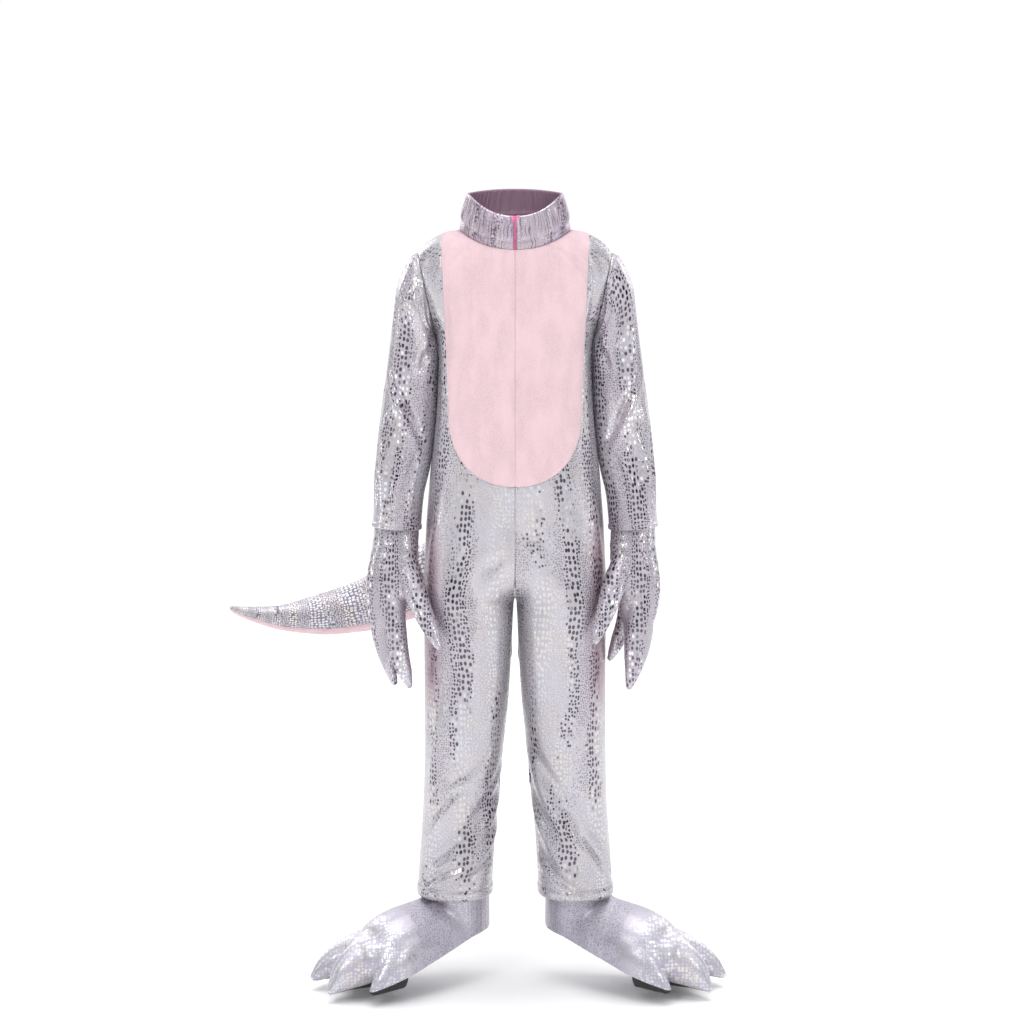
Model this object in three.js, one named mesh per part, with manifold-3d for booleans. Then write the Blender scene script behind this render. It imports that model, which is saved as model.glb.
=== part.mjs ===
// A child's dinosaur costume, filled out as it is worn: a one-piece suit of thin foil-printed
// knit with a plush belly, a stand-up collar, sleeves, trouser legs and a stuffed tail, with
// three-clawed gloves and three-clawed foot covers. Millimetres, +Z up, the wearer faces -Y,
// so the wearer's right is at -X. Heights in the tables are above the floor under the wearer,
// and the finished group is lowered so that its origin lies between the wearer's shoulders.
import * as THREE from "three";
import { mergeVertices } from "three/addons/utils/BufferGeometryUtils.js";
import Module from "manifold-3d";

const wasm = await Module();
wasm.setup();

const SHOULDER_HEIGHT = 919; // where the neck opening's sides rest on the shoulders
const KNIT = 2; // wall of the foil-printed knit
const PLUSH = 3; // wall of the plush belly, which stands proud of the knit
const PLUSH_PROUD = 0.8;
const COLLAR_WALL = 2.6; // two layers of knit
const SEAM_GAP = 0.3; // free space between two pieces at a seam
const SQUARENESS = 2.3; // superellipse power of the body's sections
const RIGHT = -1; // the wearer's right, at -X
const LEFT = 1;
const FAR = 260; // past everything, for the ends of the cutting forms

// Sections of one half of the body. side is the half width, lobe the middle of that half's own
// loop (0 where both halves share one section), front and back the depths from the side seam.
const BODY_SECTIONS = [
  { height: 112, side: 116, lobe: 70, front: 50, back: 50 },
  { height: 150, side: 113.5, lobe: 68, front: 51, back: 50 },
  { height: 226, side: 109, lobe: 63.5, front: 55, back: 53 },
  { height: 300, side: 108.5, lobe: 60, front: 61, back: 59 },
  { height: 350, side: 109, lobe: 58, front: 65, back: 64 },
  { height: 400, side: 109.5, lobe: 57, front: 69, back: 70 },
  { height: 440, side: 110, lobe: 56.5, front: 73, back: 76 },
  { height: 465, side: 110.5, lobe: 56.3, front: 75, back: 80 },
  { height: 478, side: 110.5, lobe: 55.6, front: 76, back: 82 },
  { height: 490, side: 110.5, lobe: 50, front: 77, back: 84 },
  { height: 506, side: 110, lobe: 39, front: 78, back: 85 },
  { height: 526, side: 109, lobe: 26, front: 79, back: 85 },
  { height: 550, side: 108, lobe: 13, front: 80, back: 84 },
  { height: 575, side: 106.5, lobe: 4, front: 81, back: 81 },
  { height: 600, side: 104.5, lobe: 0, front: 82, back: 77 },
  { height: 630, side: 102, lobe: 0, front: 83, back: 73 },
  { height: 665, side: 98, lobe: 0, front: 82, back: 71 },
  { height: 700, side: 94.5, lobe: 0, front: 80, back: 72 },
  { height: 735, side: 92.5, lobe: 0, front: 77, back: 74 },
  { height: 770, side: 92, lobe: 0, front: 74, back: 76 },
  { height: 800, side: 95.5, lobe: 0, front: 71, back: 77 },
  { height: 825, side: 109, lobe: 0, front: 68, back: 76 },
  { height: 848, side: 119, lobe: 0, front: 65, back: 73 },
  { height: 865, side: 123, lobe: 0, front: 62, back: 69 },
];
const HEM = BODY_SECTIONS[0].height;
const YOKE = BODY_SECTIONS.at(-1).height; // above this the cloth turns in to the neck
const NECK = { side: 66, front: 57, back: 50, height: 919, frontDrop: 22, backRise: 9 };
const NECK_ROW = 100; // rows of the yoke run from YOKE to YOKE + NECK_ROW
const YOKE_POWER = 2.05; // superellipse power of the shoulder's slope
const LEG_LEAN = { [RIGHT]: 4, [LEFT]: 4.5 }; // how far each hem stands out from the table's
const CROTCH = 478;

// Soft troughs and ridges of the legs. across is the turn from side seam (0) to inseam (1), on
// the front (-1) or back (1), at the fold's low and high end.
const LEG_FOLDS = [
  { side: RIGHT, face: -1, low: 150, high: 255, acrossLow: 0.25, acrossHigh: 0.95, width: 13, depth: -5 },
  { side: RIGHT, face: -1, low: 185, high: 300, acrossLow: 0.1, acrossHigh: 0.62, width: 12, depth: -4 },
  { side: RIGHT, face: -1, low: 128, high: 205, acrossLow: 0.4, acrossHigh: 1, width: 12, depth: 4 },
  { side: RIGHT, face: -1, low: 265, high: 400, acrossLow: 0.1, acrossHigh: 0.35, width: 12, depth: -4 },
  { side: RIGHT, face: -1, low: 330, high: 560, acrossLow: 0.5, acrossHigh: 0.7, width: 18, depth: -3 },
  { side: RIGHT, face: 1, low: 140, high: 250, acrossLow: 0.2, acrossHigh: 0.8, width: 14, depth: -5 },
  { side: RIGHT, face: 1, low: 230, high: 360, acrossLow: 0.75, acrossHigh: 0.3, width: 16, depth: -4 },
  { side: LEFT, face: -1, low: 145, high: 300, acrossLow: 0.2, acrossHigh: 0.78, width: 13, depth: -5.5 },
  { side: LEFT, face: -1, low: 125, high: 230, acrossLow: 0.45, acrossHigh: 0.9, width: 12, depth: 4 },
  { side: LEFT, face: -1, low: 135, high: 200, acrossLow: 0.05, acrossHigh: 0.4, width: 12, depth: -4 },
  { side: LEFT, face: -1, low: 300, high: 520, acrossLow: 0.3, acrossHigh: 0.6, width: 18, depth: -3 },
  { side: LEFT, face: 1, low: 135, high: 260, acrossLow: 0.15, acrossHigh: 0.85, width: 14, depth: -5 },
  { side: LEFT, face: 1, low: 240, high: 380, acrossLow: 0.8, acrossHigh: 0.25, width: 16, depth: -4 },
];

// Sections of a sleeve below its armhole, each an ellipse between an outer and an inner point.
const SLEEVE_SECTIONS = [
  { outerX: 133, outerZ: 886, innerX: 96.6, innerZ: 800.5, depth: 47, middle: 3 },
  { outerX: 141, outerZ: 855, innerX: 96.8, innerZ: 797, depth: 45, middle: 3 },
  { outerX: 145.5, outerZ: 820, innerX: 96.6, innerZ: 790, depth: 42, middle: 3 },
  { outerX: 150, outerZ: 784, innerX: 95.6, innerZ: 774, depth: 39, middle: 3 },
  { outerX: 154.5, outerZ: 753, innerX: 95, innerZ: 750, depth: 37, middle: 3 },
  { outerX: 158, outerZ: 724, innerX: 95.6, innerZ: 722, depth: 35.5, middle: 2 },
  { outerX: 162, outerZ: 696, innerX: 98, innerZ: 694, depth: 34.5, middle: 1 },
  { outerX: 165.5, outerZ: 667, innerX: 102, innerZ: 665, depth: 34, middle: -1 },
  { outerX: 168, outerZ: 638, innerX: 105.6, innerZ: 636, depth: 33, middle: -4 },
  { outerX: 169.5, outerZ: 609, innerX: 109, innerZ: 606, depth: 32, middle: -7 },
  { outerX: 170.5, outerZ: 582, innerX: 112, innerZ: 579, depth: 30.5, middle: -9 },
  { outerX: 172, outerZ: 566, innerX: 113, innerZ: 562, depth: 30, middle: -10 },
];
const ARMHOLE = { topX: 118, topZ: 905, lowX: 96, lowZ: 800 }; // a leaning plane, seen from the front
// Folds round a sleeve: along is the row of the table, around the angle from the outer side.
const SLEEVE_FOLDS = [
  { along: 1.6, around: -120, slant: 0.9, width: 0.45, depth: -4, reach: 60 },
  { along: 3.1, around: -70, slant: 1.4, width: 0.5, depth: -3.5, reach: 75 },
  { along: 5.6, around: -100, slant: -0.8, width: 0.5, depth: -4, reach: 70 },
  { along: 7.2, around: -60, slant: 1.0, width: 0.55, depth: -4, reach: 80 },
  { along: 8.6, around: -110, slant: -1.1, width: 0.5, depth: -3, reach: 65 },
  { along: 6.4, around: 80, slant: 1.0, width: 0.6, depth: -4, reach: 75 },
  { along: 3.9, around: 110, slant: -1.0, width: 0.6, depth: -4, reach: 70 },
];

const BELLY = { topHalf: 88, lowHalf: 78.5, roundFrom: 702, bottom: 621, power: 2.2 };
const COLLAR_TOP = { side: 57, front: 58, back: 46, height: 964, frontDrop: 27, backRise: 5 };
const COLLAR_BULGE = 2; // how far the collar's middle stands out
const ZIP = { gap: 3.4, tape: 1, tapeHalf: 8 }; // gap between the collar's edges, and the tape behind it

const TAIL_ROUTE = [
  { x: 0, y: 52, height: 548, radius: 57 },
  { x: -34, y: 116, height: 516, radius: 54 },
  { x: -80, y: 148, height: 489, radius: 47.5 },
  { x: -124, y: 157, height: 471, radius: 42 },
  { x: -187, y: 158, height: 444, radius: 33.6 },
  { x: -246, y: 150, height: 432, radius: 26 },
  { x: -299, y: 138, height: 430, radius: 15.5 },
  { x: -344, y: 126, height: 439, radius: 7 },
  { x: -359, y: 121, height: 445, radius: 3 },
];
const TAIL_SEAM_DROP = 39; // degrees below level where the plush underside begins

// Gloves: tapered tubes of the hand and its three claws. x is the distance from the middle.
const GLOVES = [
  {
    side: RIGHT,
    hand: [
      { x: 142.2, y: -10, height: 592, wide: 25.5, deep: 23 },
      { x: 142.4, y: -10, height: 563, wide: 26.8, deep: 22 },
      { x: 144.5, y: -17, height: 537, wide: 28, deep: 20 },
      { x: 149, y: -24, height: 508, wide: 29, deep: 18.5 },
      { x: 153, y: -25, height: 484, wide: 27, deep: 17 },
      { x: 155, y: -25, height: 462, wide: 23, deep: 15 },
    ],
    claws: [
      [
        { x: 129, y: -24, height: 522, wide: 13, deep: 12 },
        { x: 120, y: -43, height: 492, wide: 14, deep: 13 },
        { x: 107, y: -66, height: 465, wide: 11.5, deep: 11 },
        { x: 98, y: -74, height: 447, wide: 9, deep: 8.5 },
        { x: 90, y: -84, height: 431, wide: 4.5, deep: 4 },
      ],
      [
        { x: 162, y: -22, height: 482, wide: 13, deep: 13 },
        { x: 162, y: -21, height: 444, wide: 12, deep: 12 },
        { x: 157.5, y: -20, height: 418, wide: 10.5, deep: 10.5 },
        { x: 151, y: -19, height: 394, wide: 8, deep: 7.5 },
        { x: 146, y: -19, height: 376, wide: 4.5, deep: 4 },
      ],
      [
        { x: 146, y: -29, height: 480, wide: 13.5, deep: 13 },
        { x: 143, y: -32, height: 437, wide: 13.5, deep: 12.5 },
        { x: 139, y: -33, height: 413, wide: 12, deep: 11 },
        { x: 132.5, y: -33, height: 391, wide: 9, deep: 8 },
        { x: 127, y: -33, height: 375, wide: 4.5, deep: 4 },
      ],
    ],
  },
  {
    side: LEFT,
    hand: [
      { x: 142.2, y: -10, height: 592, wide: 25.5, deep: 23 },
      { x: 142.2, y: -10, height: 563, wide: 26.8, deep: 22 },
      { x: 142, y: -17, height: 537, wide: 28, deep: 20 },
      { x: 145, y: -24, height: 508, wide: 29, deep: 18.5 },
      { x: 148, y: -25, height: 484, wide: 27, deep: 17 },
      { x: 149, y: -25, height: 462, wide: 22, deep: 15 },
    ],
    claws: [
      [
        { x: 128, y: -24, height: 524, wide: 13, deep: 12 },
        { x: 117, y: -51, height: 497, wide: 14, deep: 13 },
        { x: 107, y: -67, height: 470, wide: 11.5, deep: 11 },
        { x: 100, y: -73, height: 452, wide: 9, deep: 8.5 },
        { x: 95, y: -81, height: 437, wide: 4.5, deep: 4 },
      ],
      [
        { x: 138, y: -18, height: 480, wide: 12, deep: 13 },
        { x: 132, y: -14, height: 448, wide: 10.5, deep: 12 },
        { x: 126, y: -12, height: 430, wide: 9.5, deep: 10.5 },
        { x: 120, y: -11, height: 415, wide: 7, deep: 7.5 },
        { x: 115, y: -11, height: 404, wide: 4, deep: 4 },
      ],
      [
        { x: 150, y: -28, height: 482, wide: 17, deep: 15 },
        { x: 150, y: -31, height: 452, wide: 17, deep: 14 },
        { x: 147, y: -32, height: 424, wide: 16, deep: 12.5 },
        { x: 142.5, y: -32, height: 396, wide: 11, deep: 9 },
        { x: 137.5, y: -32, height: 373, wide: 4.5, deep: 4 },
      ],
    ],
  },
];
const GLOVE_SEAM_Y = -12; // the seam between back and palm runs behind the hand's widest part

// Foot covers in their own frame: forward towards the middle claw, in towards the other foot.
const FOOT = {
  [RIGHT]: { x: -70, y: 4, turn: 58 },
  [LEFT]: { x: 76, y: 4, turn: 62 },
};
const ANKLE = { along: 39.3, across: 37.8, top: 150, low: 34 };
const INSTEP = [
  { forward: -27, height: 66, wide: 31, tall: 30 },
  { forward: 8, height: 58, wide: 39, tall: 51 },
  { forward: 40, height: 52, wide: 45, tall: 57 },
  { forward: 72, height: 54, wide: 50, tall: 48 },
  { forward: 100, height: 53, wide: 48, tall: 39 },
  { forward: 118, height: 49, wide: 40, tall: 29 },
];
const FOOT_CLAWS = [
  [
    { forward: 84, inward: -29, height: 45, wide: 27, tall: 32 },
    { forward: 125, inward: -42, height: 38, wide: 23, tall: 24 },
    { forward: 155, inward: -50, height: 27, wide: 15.5, tall: 15 },
    { forward: 173, inward: -53, height: 16, wide: 6, tall: 6 },
  ],
  [
    { forward: 84, inward: 2, height: 48, wide: 26, tall: 36 },
    { forward: 126, inward: 2, height: 43, wide: 25, tall: 31 },
    { forward: 156, inward: 2, height: 32, wide: 18, tall: 22 },
    { forward: 180, inward: 3, height: 15, wide: 6, tall: 6 },
  ],
  [
    { forward: 60, inward: 24, height: 48, wide: 23, tall: 32 },
    { forward: 98, inward: 31, height: 42, wide: 22, tall: 30 },
    { forward: 122, inward: 37, height: 30, wide: 15, tall: 18 },
    { forward: 142, inward: 41, height: 18, wide: 6, tall: 6 },
  ],
];
// The foot cover's lower edge, seen from the side.
const FOOT_EDGE = [
  { forward: -60, height: 76 },
  { forward: 0, height: 63 },
  { forward: 60, height: 44 },
  { forward: 100, height: 31 },
  { forward: 140, height: 20 },
  { forward: 190, height: 8 },
];
const CLAW_UNDERSIDE_FROM = 100; // the claws' dark underside begins in front of the wearer's toes

const foil = new THREE.MeshStandardMaterial({ color: 0xc9c4d0, roughness: 0.35, metalness: 0.55 });
const plush = new THREE.MeshStandardMaterial({ color: 0xf2c6d0, roughness: 0.95, metalness: 0 });
const zipPink = new THREE.MeshStandardMaterial({ color: 0xf08fb4, roughness: 0.6, metalness: 0 });
const darkBacking = new THREE.MeshStandardMaterial({ color: 0x1b1a1e, roughness: 0.85, metalness: 0 });

const { clamp, lerp, smoothstep, degToRad } = THREE.MathUtils;

// One column of a table at any value of its key, on a smooth curve through the rows.
function readTable(table, key, at, column) {
  const place = clamp(at, table[0][key], table.at(-1)[key]);
  let row = 0;
  while (row < table.length - 2 && place > table[row + 1][key]) row += 1;
  const [before, here, next, after] = [row - 1, row, row + 1, row + 2].map(
    (index) => table[clamp(index, 0, table.length - 1)],
  );
  const span = next[key] - here[key];
  const share = (place - here[key]) / span;
  const slopeHere = ((next[column] - before[column]) / (next[key] - before[key])) * span;
  const slopeNext = ((after[column] - here[column]) / (after[key] - here[key])) * span;
  const [square, cube] = [share ** 2, share ** 3];
  return (
    (2 * cube - 3 * square + 1) * here[column] +
    (cube - 2 * square + share) * slopeHere +
    (3 * square - 2 * cube) * next[column] +
    (cube - square) * slopeNext
  );
}

const signedPower = (value, power) => Math.sign(value) * Math.abs(value) ** power;

// How far a leg's cloth is pushed out or in by the folds near a point of it.
function legFold(side, face, height, turn) {
  return LEG_FOLDS.filter((fold) => fold.side === side && fold.face === face).reduce((sum, fold) => {
    const along = (height - fold.low) / (fold.high - fold.low);
    const centre = lerp(fold.acrossLow, fold.acrossHigh, clamp(along, 0, 1));
    const away = (Math.abs(turn - centre) * Math.PI * 50) / fold.width;
    const ends = smoothstep(along, -0.15, 0.25) * (1 - smoothstep(along, 0.7, 1.15));
    return sum + fold.depth * ends * Math.exp(-away * away);
  }, 0);
}

// A point of the suit's body. row is the height up to YOKE and then runs on to the neck, turn is
// 0 at the side seam and 1 at the middle of the body or the inseam, face is -1 in front.
function bodyPoint(side, face, row, turn) {
  const low = Math.min(row, YOKE);
  const read = (column) => readTable(BODY_SECTIONS, "height", low, column);
  const depthName = face < 0 ? "front" : "back";
  let [reach, lobe, depth] = [read("side"), Math.max(0, read("lobe")), read(depthName)];
  let height = low;
  if (row > YOKE) {
    const angle = ((row - YOKE) / NECK_ROW) * (Math.PI / 2);
    const inwards = 1 - Math.abs(Math.cos(angle)) ** (2 / YOKE_POWER);
    const upwards = Math.abs(Math.sin(angle)) ** (2 / YOKE_POWER);
    reach = lerp(reach, NECK.side, inwards);
    depth = lerp(depth, NECK[depthName], inwards);
    const middle = face < 0 ? -NECK.frontDrop : NECK.backRise;
    const level = NECK.height + middle * Math.sin((turn * Math.PI) / 2) ** 2;
    height = lerp(YOKE, level, upwards);
  }
  const radius = reach - lobe;
  const widest = lobe < radius ? Math.PI - Math.acos((lobe / radius) ** (SQUARENESS / 2)) : Math.PI;
  const angle = turn * widest;
  const push = legFold(side, face, height, turn);
  const x = lobe + (radius + push) * signedPower(Math.cos(angle), 2 / SQUARENESS);
  const y = face * (depth + push) * signedPower(Math.sin(angle), 2 / SQUARENESS);
  const lean = LEG_LEAN[side] * smoothstep(CROTCH - height, 0, CROTCH - HEM);
  return new THREE.Vector3(side * (Math.max(x, 0) + lean), y, height);
}

// A point of the sleeve's own sections. along counts the table's rows, around is 0 outside.
function sleeveSection(side, along, around) {
  const rows = SLEEVE_SECTIONS.map((row, index) => ({ ...row, index }));
  const read = (column) => readTable(rows, "index", along, column);
  const outer = new THREE.Vector3(read("outerX"), 0, read("outerZ"));
  const inner = new THREE.Vector3(read("innerX"), 0, read("innerZ"));
  const centre = outer.clone().add(inner).multiplyScalar(0.5);
  const fold = SLEEVE_FOLDS.reduce((sum, one) => {
    const degrees = THREE.MathUtils.euclideanModulo((around * 180) / Math.PI - one.around + 180, 360) - 180;
    const away = (along - one.along - (one.slant * degrees) / 90) / one.width;
    return sum + one.depth * Math.exp(-away * away - (degrees / one.reach) ** 2);
  }, 0);
  const across = outer.sub(centre);
  const grown = across.clone().setLength(across.length() + fold);
  const point = centre.addScaledVector(grown, Math.cos(around));
  point.y = read("middle") + (read("depth") + fold) * Math.sin(around);
  point.x *= side;
  return point;
}

const armholeX = (height) =>
  lerp(ARMHOLE.lowX, ARMHOLE.topX, (height - ARMHOLE.lowZ) / (ARMHOLE.topZ - ARMHOLE.lowZ));

// Where the armhole's leaning plane meets the body, as [height, depth] pairs from the underarm up.
function armholeEdge(side, face, steps) {
  const outside = (row, turn) => {
    const point = bodyPoint(side, face, row, turn);
    return Math.abs(point.x) - armholeX(point.z);
  };
  const edge = [];
  for (let row = ARMHOLE.lowZ - 5; row <= YOKE + NECK_ROW; row += 1) {
    if (outside(row, 0) <= 0) continue;
    let [out, into] = [0, 1];
    for (let pass = 0; pass < 30; pass += 1) {
      const middle = (out + into) / 2;
      if (outside(row, middle) > 0) out = middle;
      else into = middle;
    }
    edge.push(bodyPoint(side, face, row, out));
  }
  const curve = new THREE.CatmullRomCurve3(edge);
  return curve.getSpacedPoints(steps);
}

// The armhole as a closed ring, starting at the shoulder and running round the front first.
function armholeRing(side, columns) {
  const half = columns / 2;
  const front = armholeEdge(side, -1, half).reverse();
  const back = armholeEdge(side, 1, half);
  const join = (a, b) => a.clone().add(b).multiplyScalar(0.5);
  const ring = [...front.slice(0, half), ...back.slice(0, half)];
  ring[0] = join(front[0], back[half]);
  ring[half] = join(front[half], back[0]);
  return ring;
}

// A sleeve's point: row 0 is the armhole, and the next rows leave it for the sleeve's sections.
function sleeveSurface(side, ring) {
  const columns = ring.length;
  const leave = 2.2;
  return (row, column) => {
    const around = -(column / columns) * Math.PI * 2;
    const section = sleeveSection(side, Math.max(row - 1, 0), around);
    const share = smoothstep(row, 0, leave);
    const whole = ((column % columns) + columns) % columns;
    const from = ring[Math.floor(whole)].clone().lerp(ring[(Math.floor(whole) + 1) % columns], whole % 1);
    from.x += side * SEAM_GAP;
    return from.lerp(section, share);
  };
}

// The outward side of a surface at a point, from its neighbours.
function normalOf(surface, row, column, limits, outwards) {
  const [rowStep, columnStep] = limits.steps;
  const rows = [Math.max(row - rowStep, limits.rows[0]), Math.min(row + rowStep, limits.rows[1])];
  const columns = limits.closed
    ? [column - columnStep, column + columnStep]
    : [Math.max(column - columnStep, 0), Math.min(column + columnStep, limits.columns)];
  const alongRow = surface(rows[1], column).sub(surface(rows[0], column));
  const alongColumn = surface(row, columns[1]).sub(surface(row, columns[0]));
  return alongColumn.cross(alongRow).normalize().multiplyScalar(outwards);
}

// A closed geometry whose faces point out, from points and triangles.
function closedGeometry(points, triangles) {
  const volume = () => {
    let sum = 0;
    for (let i = 0; i < triangles.length; i += 3) {
      const [a, b, c] = [0, 1, 2].map((corner) => points[triangles[i + corner]]);
      sum += a.dot(b.clone().cross(c));
    }
    return sum;
  };
  if (volume() < 0)
    for (let i = 0; i < triangles.length; i += 3)
      [triangles[i + 1], triangles[i + 2]] = [triangles[i + 2], triangles[i + 1]];
  const geometry = new THREE.BufferGeometry().setFromPoints(points);
  geometry.setIndex(triangles);
  return geometry;
}

// The wall between an outer and an inner grid of points, closed at its edges.
function wallBetween(outer, inner, closed) {
  const [rows, columns] = [outer.length, outer[0].length];
  const at = (layer, row, column) => (layer * rows + row) * columns + (column % columns);
  const triangles = [];
  const quad = (a, b, c, d) => triangles.push(a, b, c, a, c, d);
  const spans = closed ? columns : columns - 1;
  for (let column = 0; column < spans; column += 1) {
    for (let row = 0; row < rows - 1; row += 1) {
      quad(at(0, row, column), at(0, row, column + 1), at(0, row + 1, column + 1), at(0, row + 1, column));
      quad(at(1, row, column), at(1, row + 1, column), at(1, row + 1, column + 1), at(1, row, column + 1));
    }
    quad(at(1, 0, column), at(1, 0, column + 1), at(0, 0, column + 1), at(0, 0, column));
    const last = rows - 1;
    quad(at(0, last, column), at(0, last, column + 1), at(1, last, column + 1), at(1, last, column));
  }
  if (!closed)
    for (let row = 0; row < rows - 1; row += 1) {
      quad(at(0, row, 0), at(0, row + 1, 0), at(1, row + 1, 0), at(1, row, 0));
      const last = columns - 1;
      quad(at(1, row, last), at(1, row + 1, last), at(0, row + 1, last), at(0, row, last));
    }
  return closedGeometry([...outer.flat(), ...inner.flat()], triangles);
}

const toSolid = (geometry) => {
  const bare = geometry.index ? geometry.toNonIndexed() : geometry.clone();
  bare.deleteAttribute("normal");
  bare.deleteAttribute("uv");
  const merged = mergeVertices(bare, 1e-3);
  return new wasm.Manifold(
    new wasm.Mesh({
      numProp: 3,
      vertProperties: merged.attributes.position.array,
      triVerts: new Uint32Array(merged.index.array),
    }),
  );
};

const toGeometry = (solid) => {
  const mesh = solid.getMesh();
  const geometry = new THREE.BufferGeometry();
  geometry.setAttribute("position", new THREE.BufferAttribute(mesh.vertProperties, 3));
  return geometry.setIndex(new THREE.BufferAttribute(mesh.triVerts, 1));
};

const named = (name, geometry, material) => {
  const mesh = new THREE.Mesh(geometry, material);
  mesh.name = name;
  return mesh;
};

// A prism whose outline is drawn in X and Z and which runs from y0 to y1.
function frontPrism(outline, y0, y1) {
  const shape = new THREE.Shape(outline.map(([x, z]) => new THREE.Vector2(x, z)));
  const prism = new THREE.ExtrudeGeometry(shape, { depth: y1 - y0, bevelEnabled: false, curveSegments: 1 });
  return prism.rotateX(Math.PI / 2).translate(0, y1, 0);
}

// A prism whose outline is drawn in X and Y and which runs from z0 to z1.
function floorPrism(outline, z0, z1) {
  const shape = new THREE.Shape(outline.map(([x, y]) => new THREE.Vector2(x, y)));
  return new THREE.ExtrudeGeometry(shape, { depth: z1 - z0, bevelEnabled: false }).translate(0, 0, z0);
}

const mirrored = (outline, side) => (side > 0 ? outline : outline.map(([x, z]) => [-x, z]).reverse());

// Body panels: a front and a back for each side, from the hem to the neck.
const BODY_ROWS = [
  HEM, 132, 154, 178, 203, 230, 262, 305, 355, 410, 450, CROTCH, 489, 504, 526,
  556, 600, 655, 715, 765, 800, 835, YOKE,
  ...[0.18, 0.4, 0.7, 1].map((share) => YOKE + share * NECK_ROW),
];
const BODY_COLUMNS = 10;

function bodyWall(side, face, proud, wall, rows = BODY_ROWS) {
  const surface = (row, turn) => bodyPoint(side, face, row, turn);
  const limits = { rows: [HEM, YOKE + NECK_ROW], columns: 1, steps: [2, 0.02], closed: false };
  const grid = (inset) =>
    rows.map((row) =>
      Array.from({ length: BODY_COLUMNS + 1 }, (_, index) => {
        const turn = index / BODY_COLUMNS;
        const point = surface(row, turn);
        const moved = point.addScaledVector(normalOf(surface, row, turn, limits, side * face), -inset);
        if (side * moved.x < 0) moved.x = 0;
        moved.x += (side * SEAM_GAP) / 2;
        moved.y += (face * SEAM_GAP) / 2;
        return moved;
      }),
    );
  return toSolid(wallBetween(grid(-proud), grid(wall - proud), false));
}

// The belly's outline on one side, seen from the front, grown by a margin.
function bellyOutline(side, margin) {
  const corner = (angle) => {
    const x = BELLY.lowHalf * Math.cos(angle) ** (2 / BELLY.power);
    const drop = (BELLY.roundFrom - BELLY.bottom) * Math.sin(angle) ** (2 / BELLY.power);
    return [x + margin, BELLY.roundFrom - drop - (angle > 0.2 ? margin : 0)];
  };
  const steps = 10;
  const round = Array.from({ length: steps + 1 }, (_, index) => corner((index / steps) * (Math.PI / 2)));
  round[steps][0] = -5;
  const above = SHOULDER_HEIGHT + 60;
  return mirrored([[-5, above], ...round.reverse(), [BELLY.topHalf + margin, above]], side);
}

const armholeCutter = (side) => {
  const lean = (ARMHOLE.topX - ARMHOLE.lowX) / (ARMHOLE.topZ - ARMHOLE.lowZ);
  const rise = 60;
  const outline = [
    [ARMHOLE.lowX, ARMHOLE.lowZ],
    [FAR, ARMHOLE.lowZ],
    [FAR, ARMHOLE.topZ + rise],
    [ARMHOLE.topX + lean * rise, ARMHOLE.topZ + rise],
  ];
  return toSolid(frontPrism(mirrored(outline, side), -FAR, FAR));
};

// The belly panels stop at the shoulder seam, where front and back meet.
function bodyPanels(side, word) {
  const armhole = armholeCutter(side);
  const front = bodyWall(side, -1, 0, KNIT).subtract(armhole);
  const back = bodyWall(side, 1, 0, KNIT).subtract(armhole);
  const bellyRows = BODY_ROWS.filter((row) => row > CROTCH + 60);
  const belly = bodyWall(side, -1, PLUSH_PROUD, PLUSH, bellyRows)
    .subtract(armhole)
    .intersect(toSolid(frontPrism(bellyOutline(side, 0), -FAR, FAR)));
  const knit = front.subtract(toSolid(frontPrism(bellyOutline(side, SEAM_GAP), -FAR, FAR)));
  return [
    named(`front_${word}`, toGeometry(knit), foil),
    named(`back_${word}`, toGeometry(back), foil),
    named(`belly_${word}`, toGeometry(belly), plush),
  ];
}

const SLEEVE_ROWS = [0, 0.5, 1.1, 1.8, 2.6, 3.4, 4.2, 5, 5.8, 6.6, 7.4, 8.2, 9, 9.8, 10.6, 11.3, 12];
const SLEEVE_COLUMNS = 16;

// Keeps a sleeve's point the seam's gap outside the armhole's leaning plane.
function clearOfArmhole(point, side) {
  const plane = armholeX(point.z);
  if (point.z > ARMHOLE.lowZ && Math.abs(point.x) < plane + SEAM_GAP) point.x = side * (plane + SEAM_GAP);
  return point;
}

function sleeve(side, word) {
  const surface = sleeveSurface(side, armholeRing(side, SLEEVE_COLUMNS));
  const last = SLEEVE_SECTIONS.length;
  const limits = { rows: [0, last], columns: SLEEVE_COLUMNS, steps: [0.1, 0.5], closed: true };
  const grid = (inset) =>
    SLEEVE_ROWS.map((row) =>
      Array.from({ length: SLEEVE_COLUMNS }, (_, column) =>
        clearOfArmhole(
          surface(row, column).addScaledVector(normalOf(surface, row, column, limits, side), -inset),
          side,
        ),
      ),
    );
  return named(`sleeve_${word}`, wallBetween(grid(0), grid(KNIT), true), foil);
}

// A ring of the neck or the collar's top at an angle from the front, through each side.
const neckPoint = (ring, angle, grow) => {
  const [across, along] = [Math.sin(angle), Math.cos(angle)];
  const depth = along > 0 ? ring.front : ring.back;
  const level = along > 0 ? -ring.frontDrop : ring.backRise;
  const x = (ring.side + grow) * signedPower(across, 2 / SQUARENESS);
  const y = -(depth + grow) * signedPower(along, 2 / SQUARENESS);
  return new THREE.Vector3(x, y, ring.height + level * along * along);
};

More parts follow.
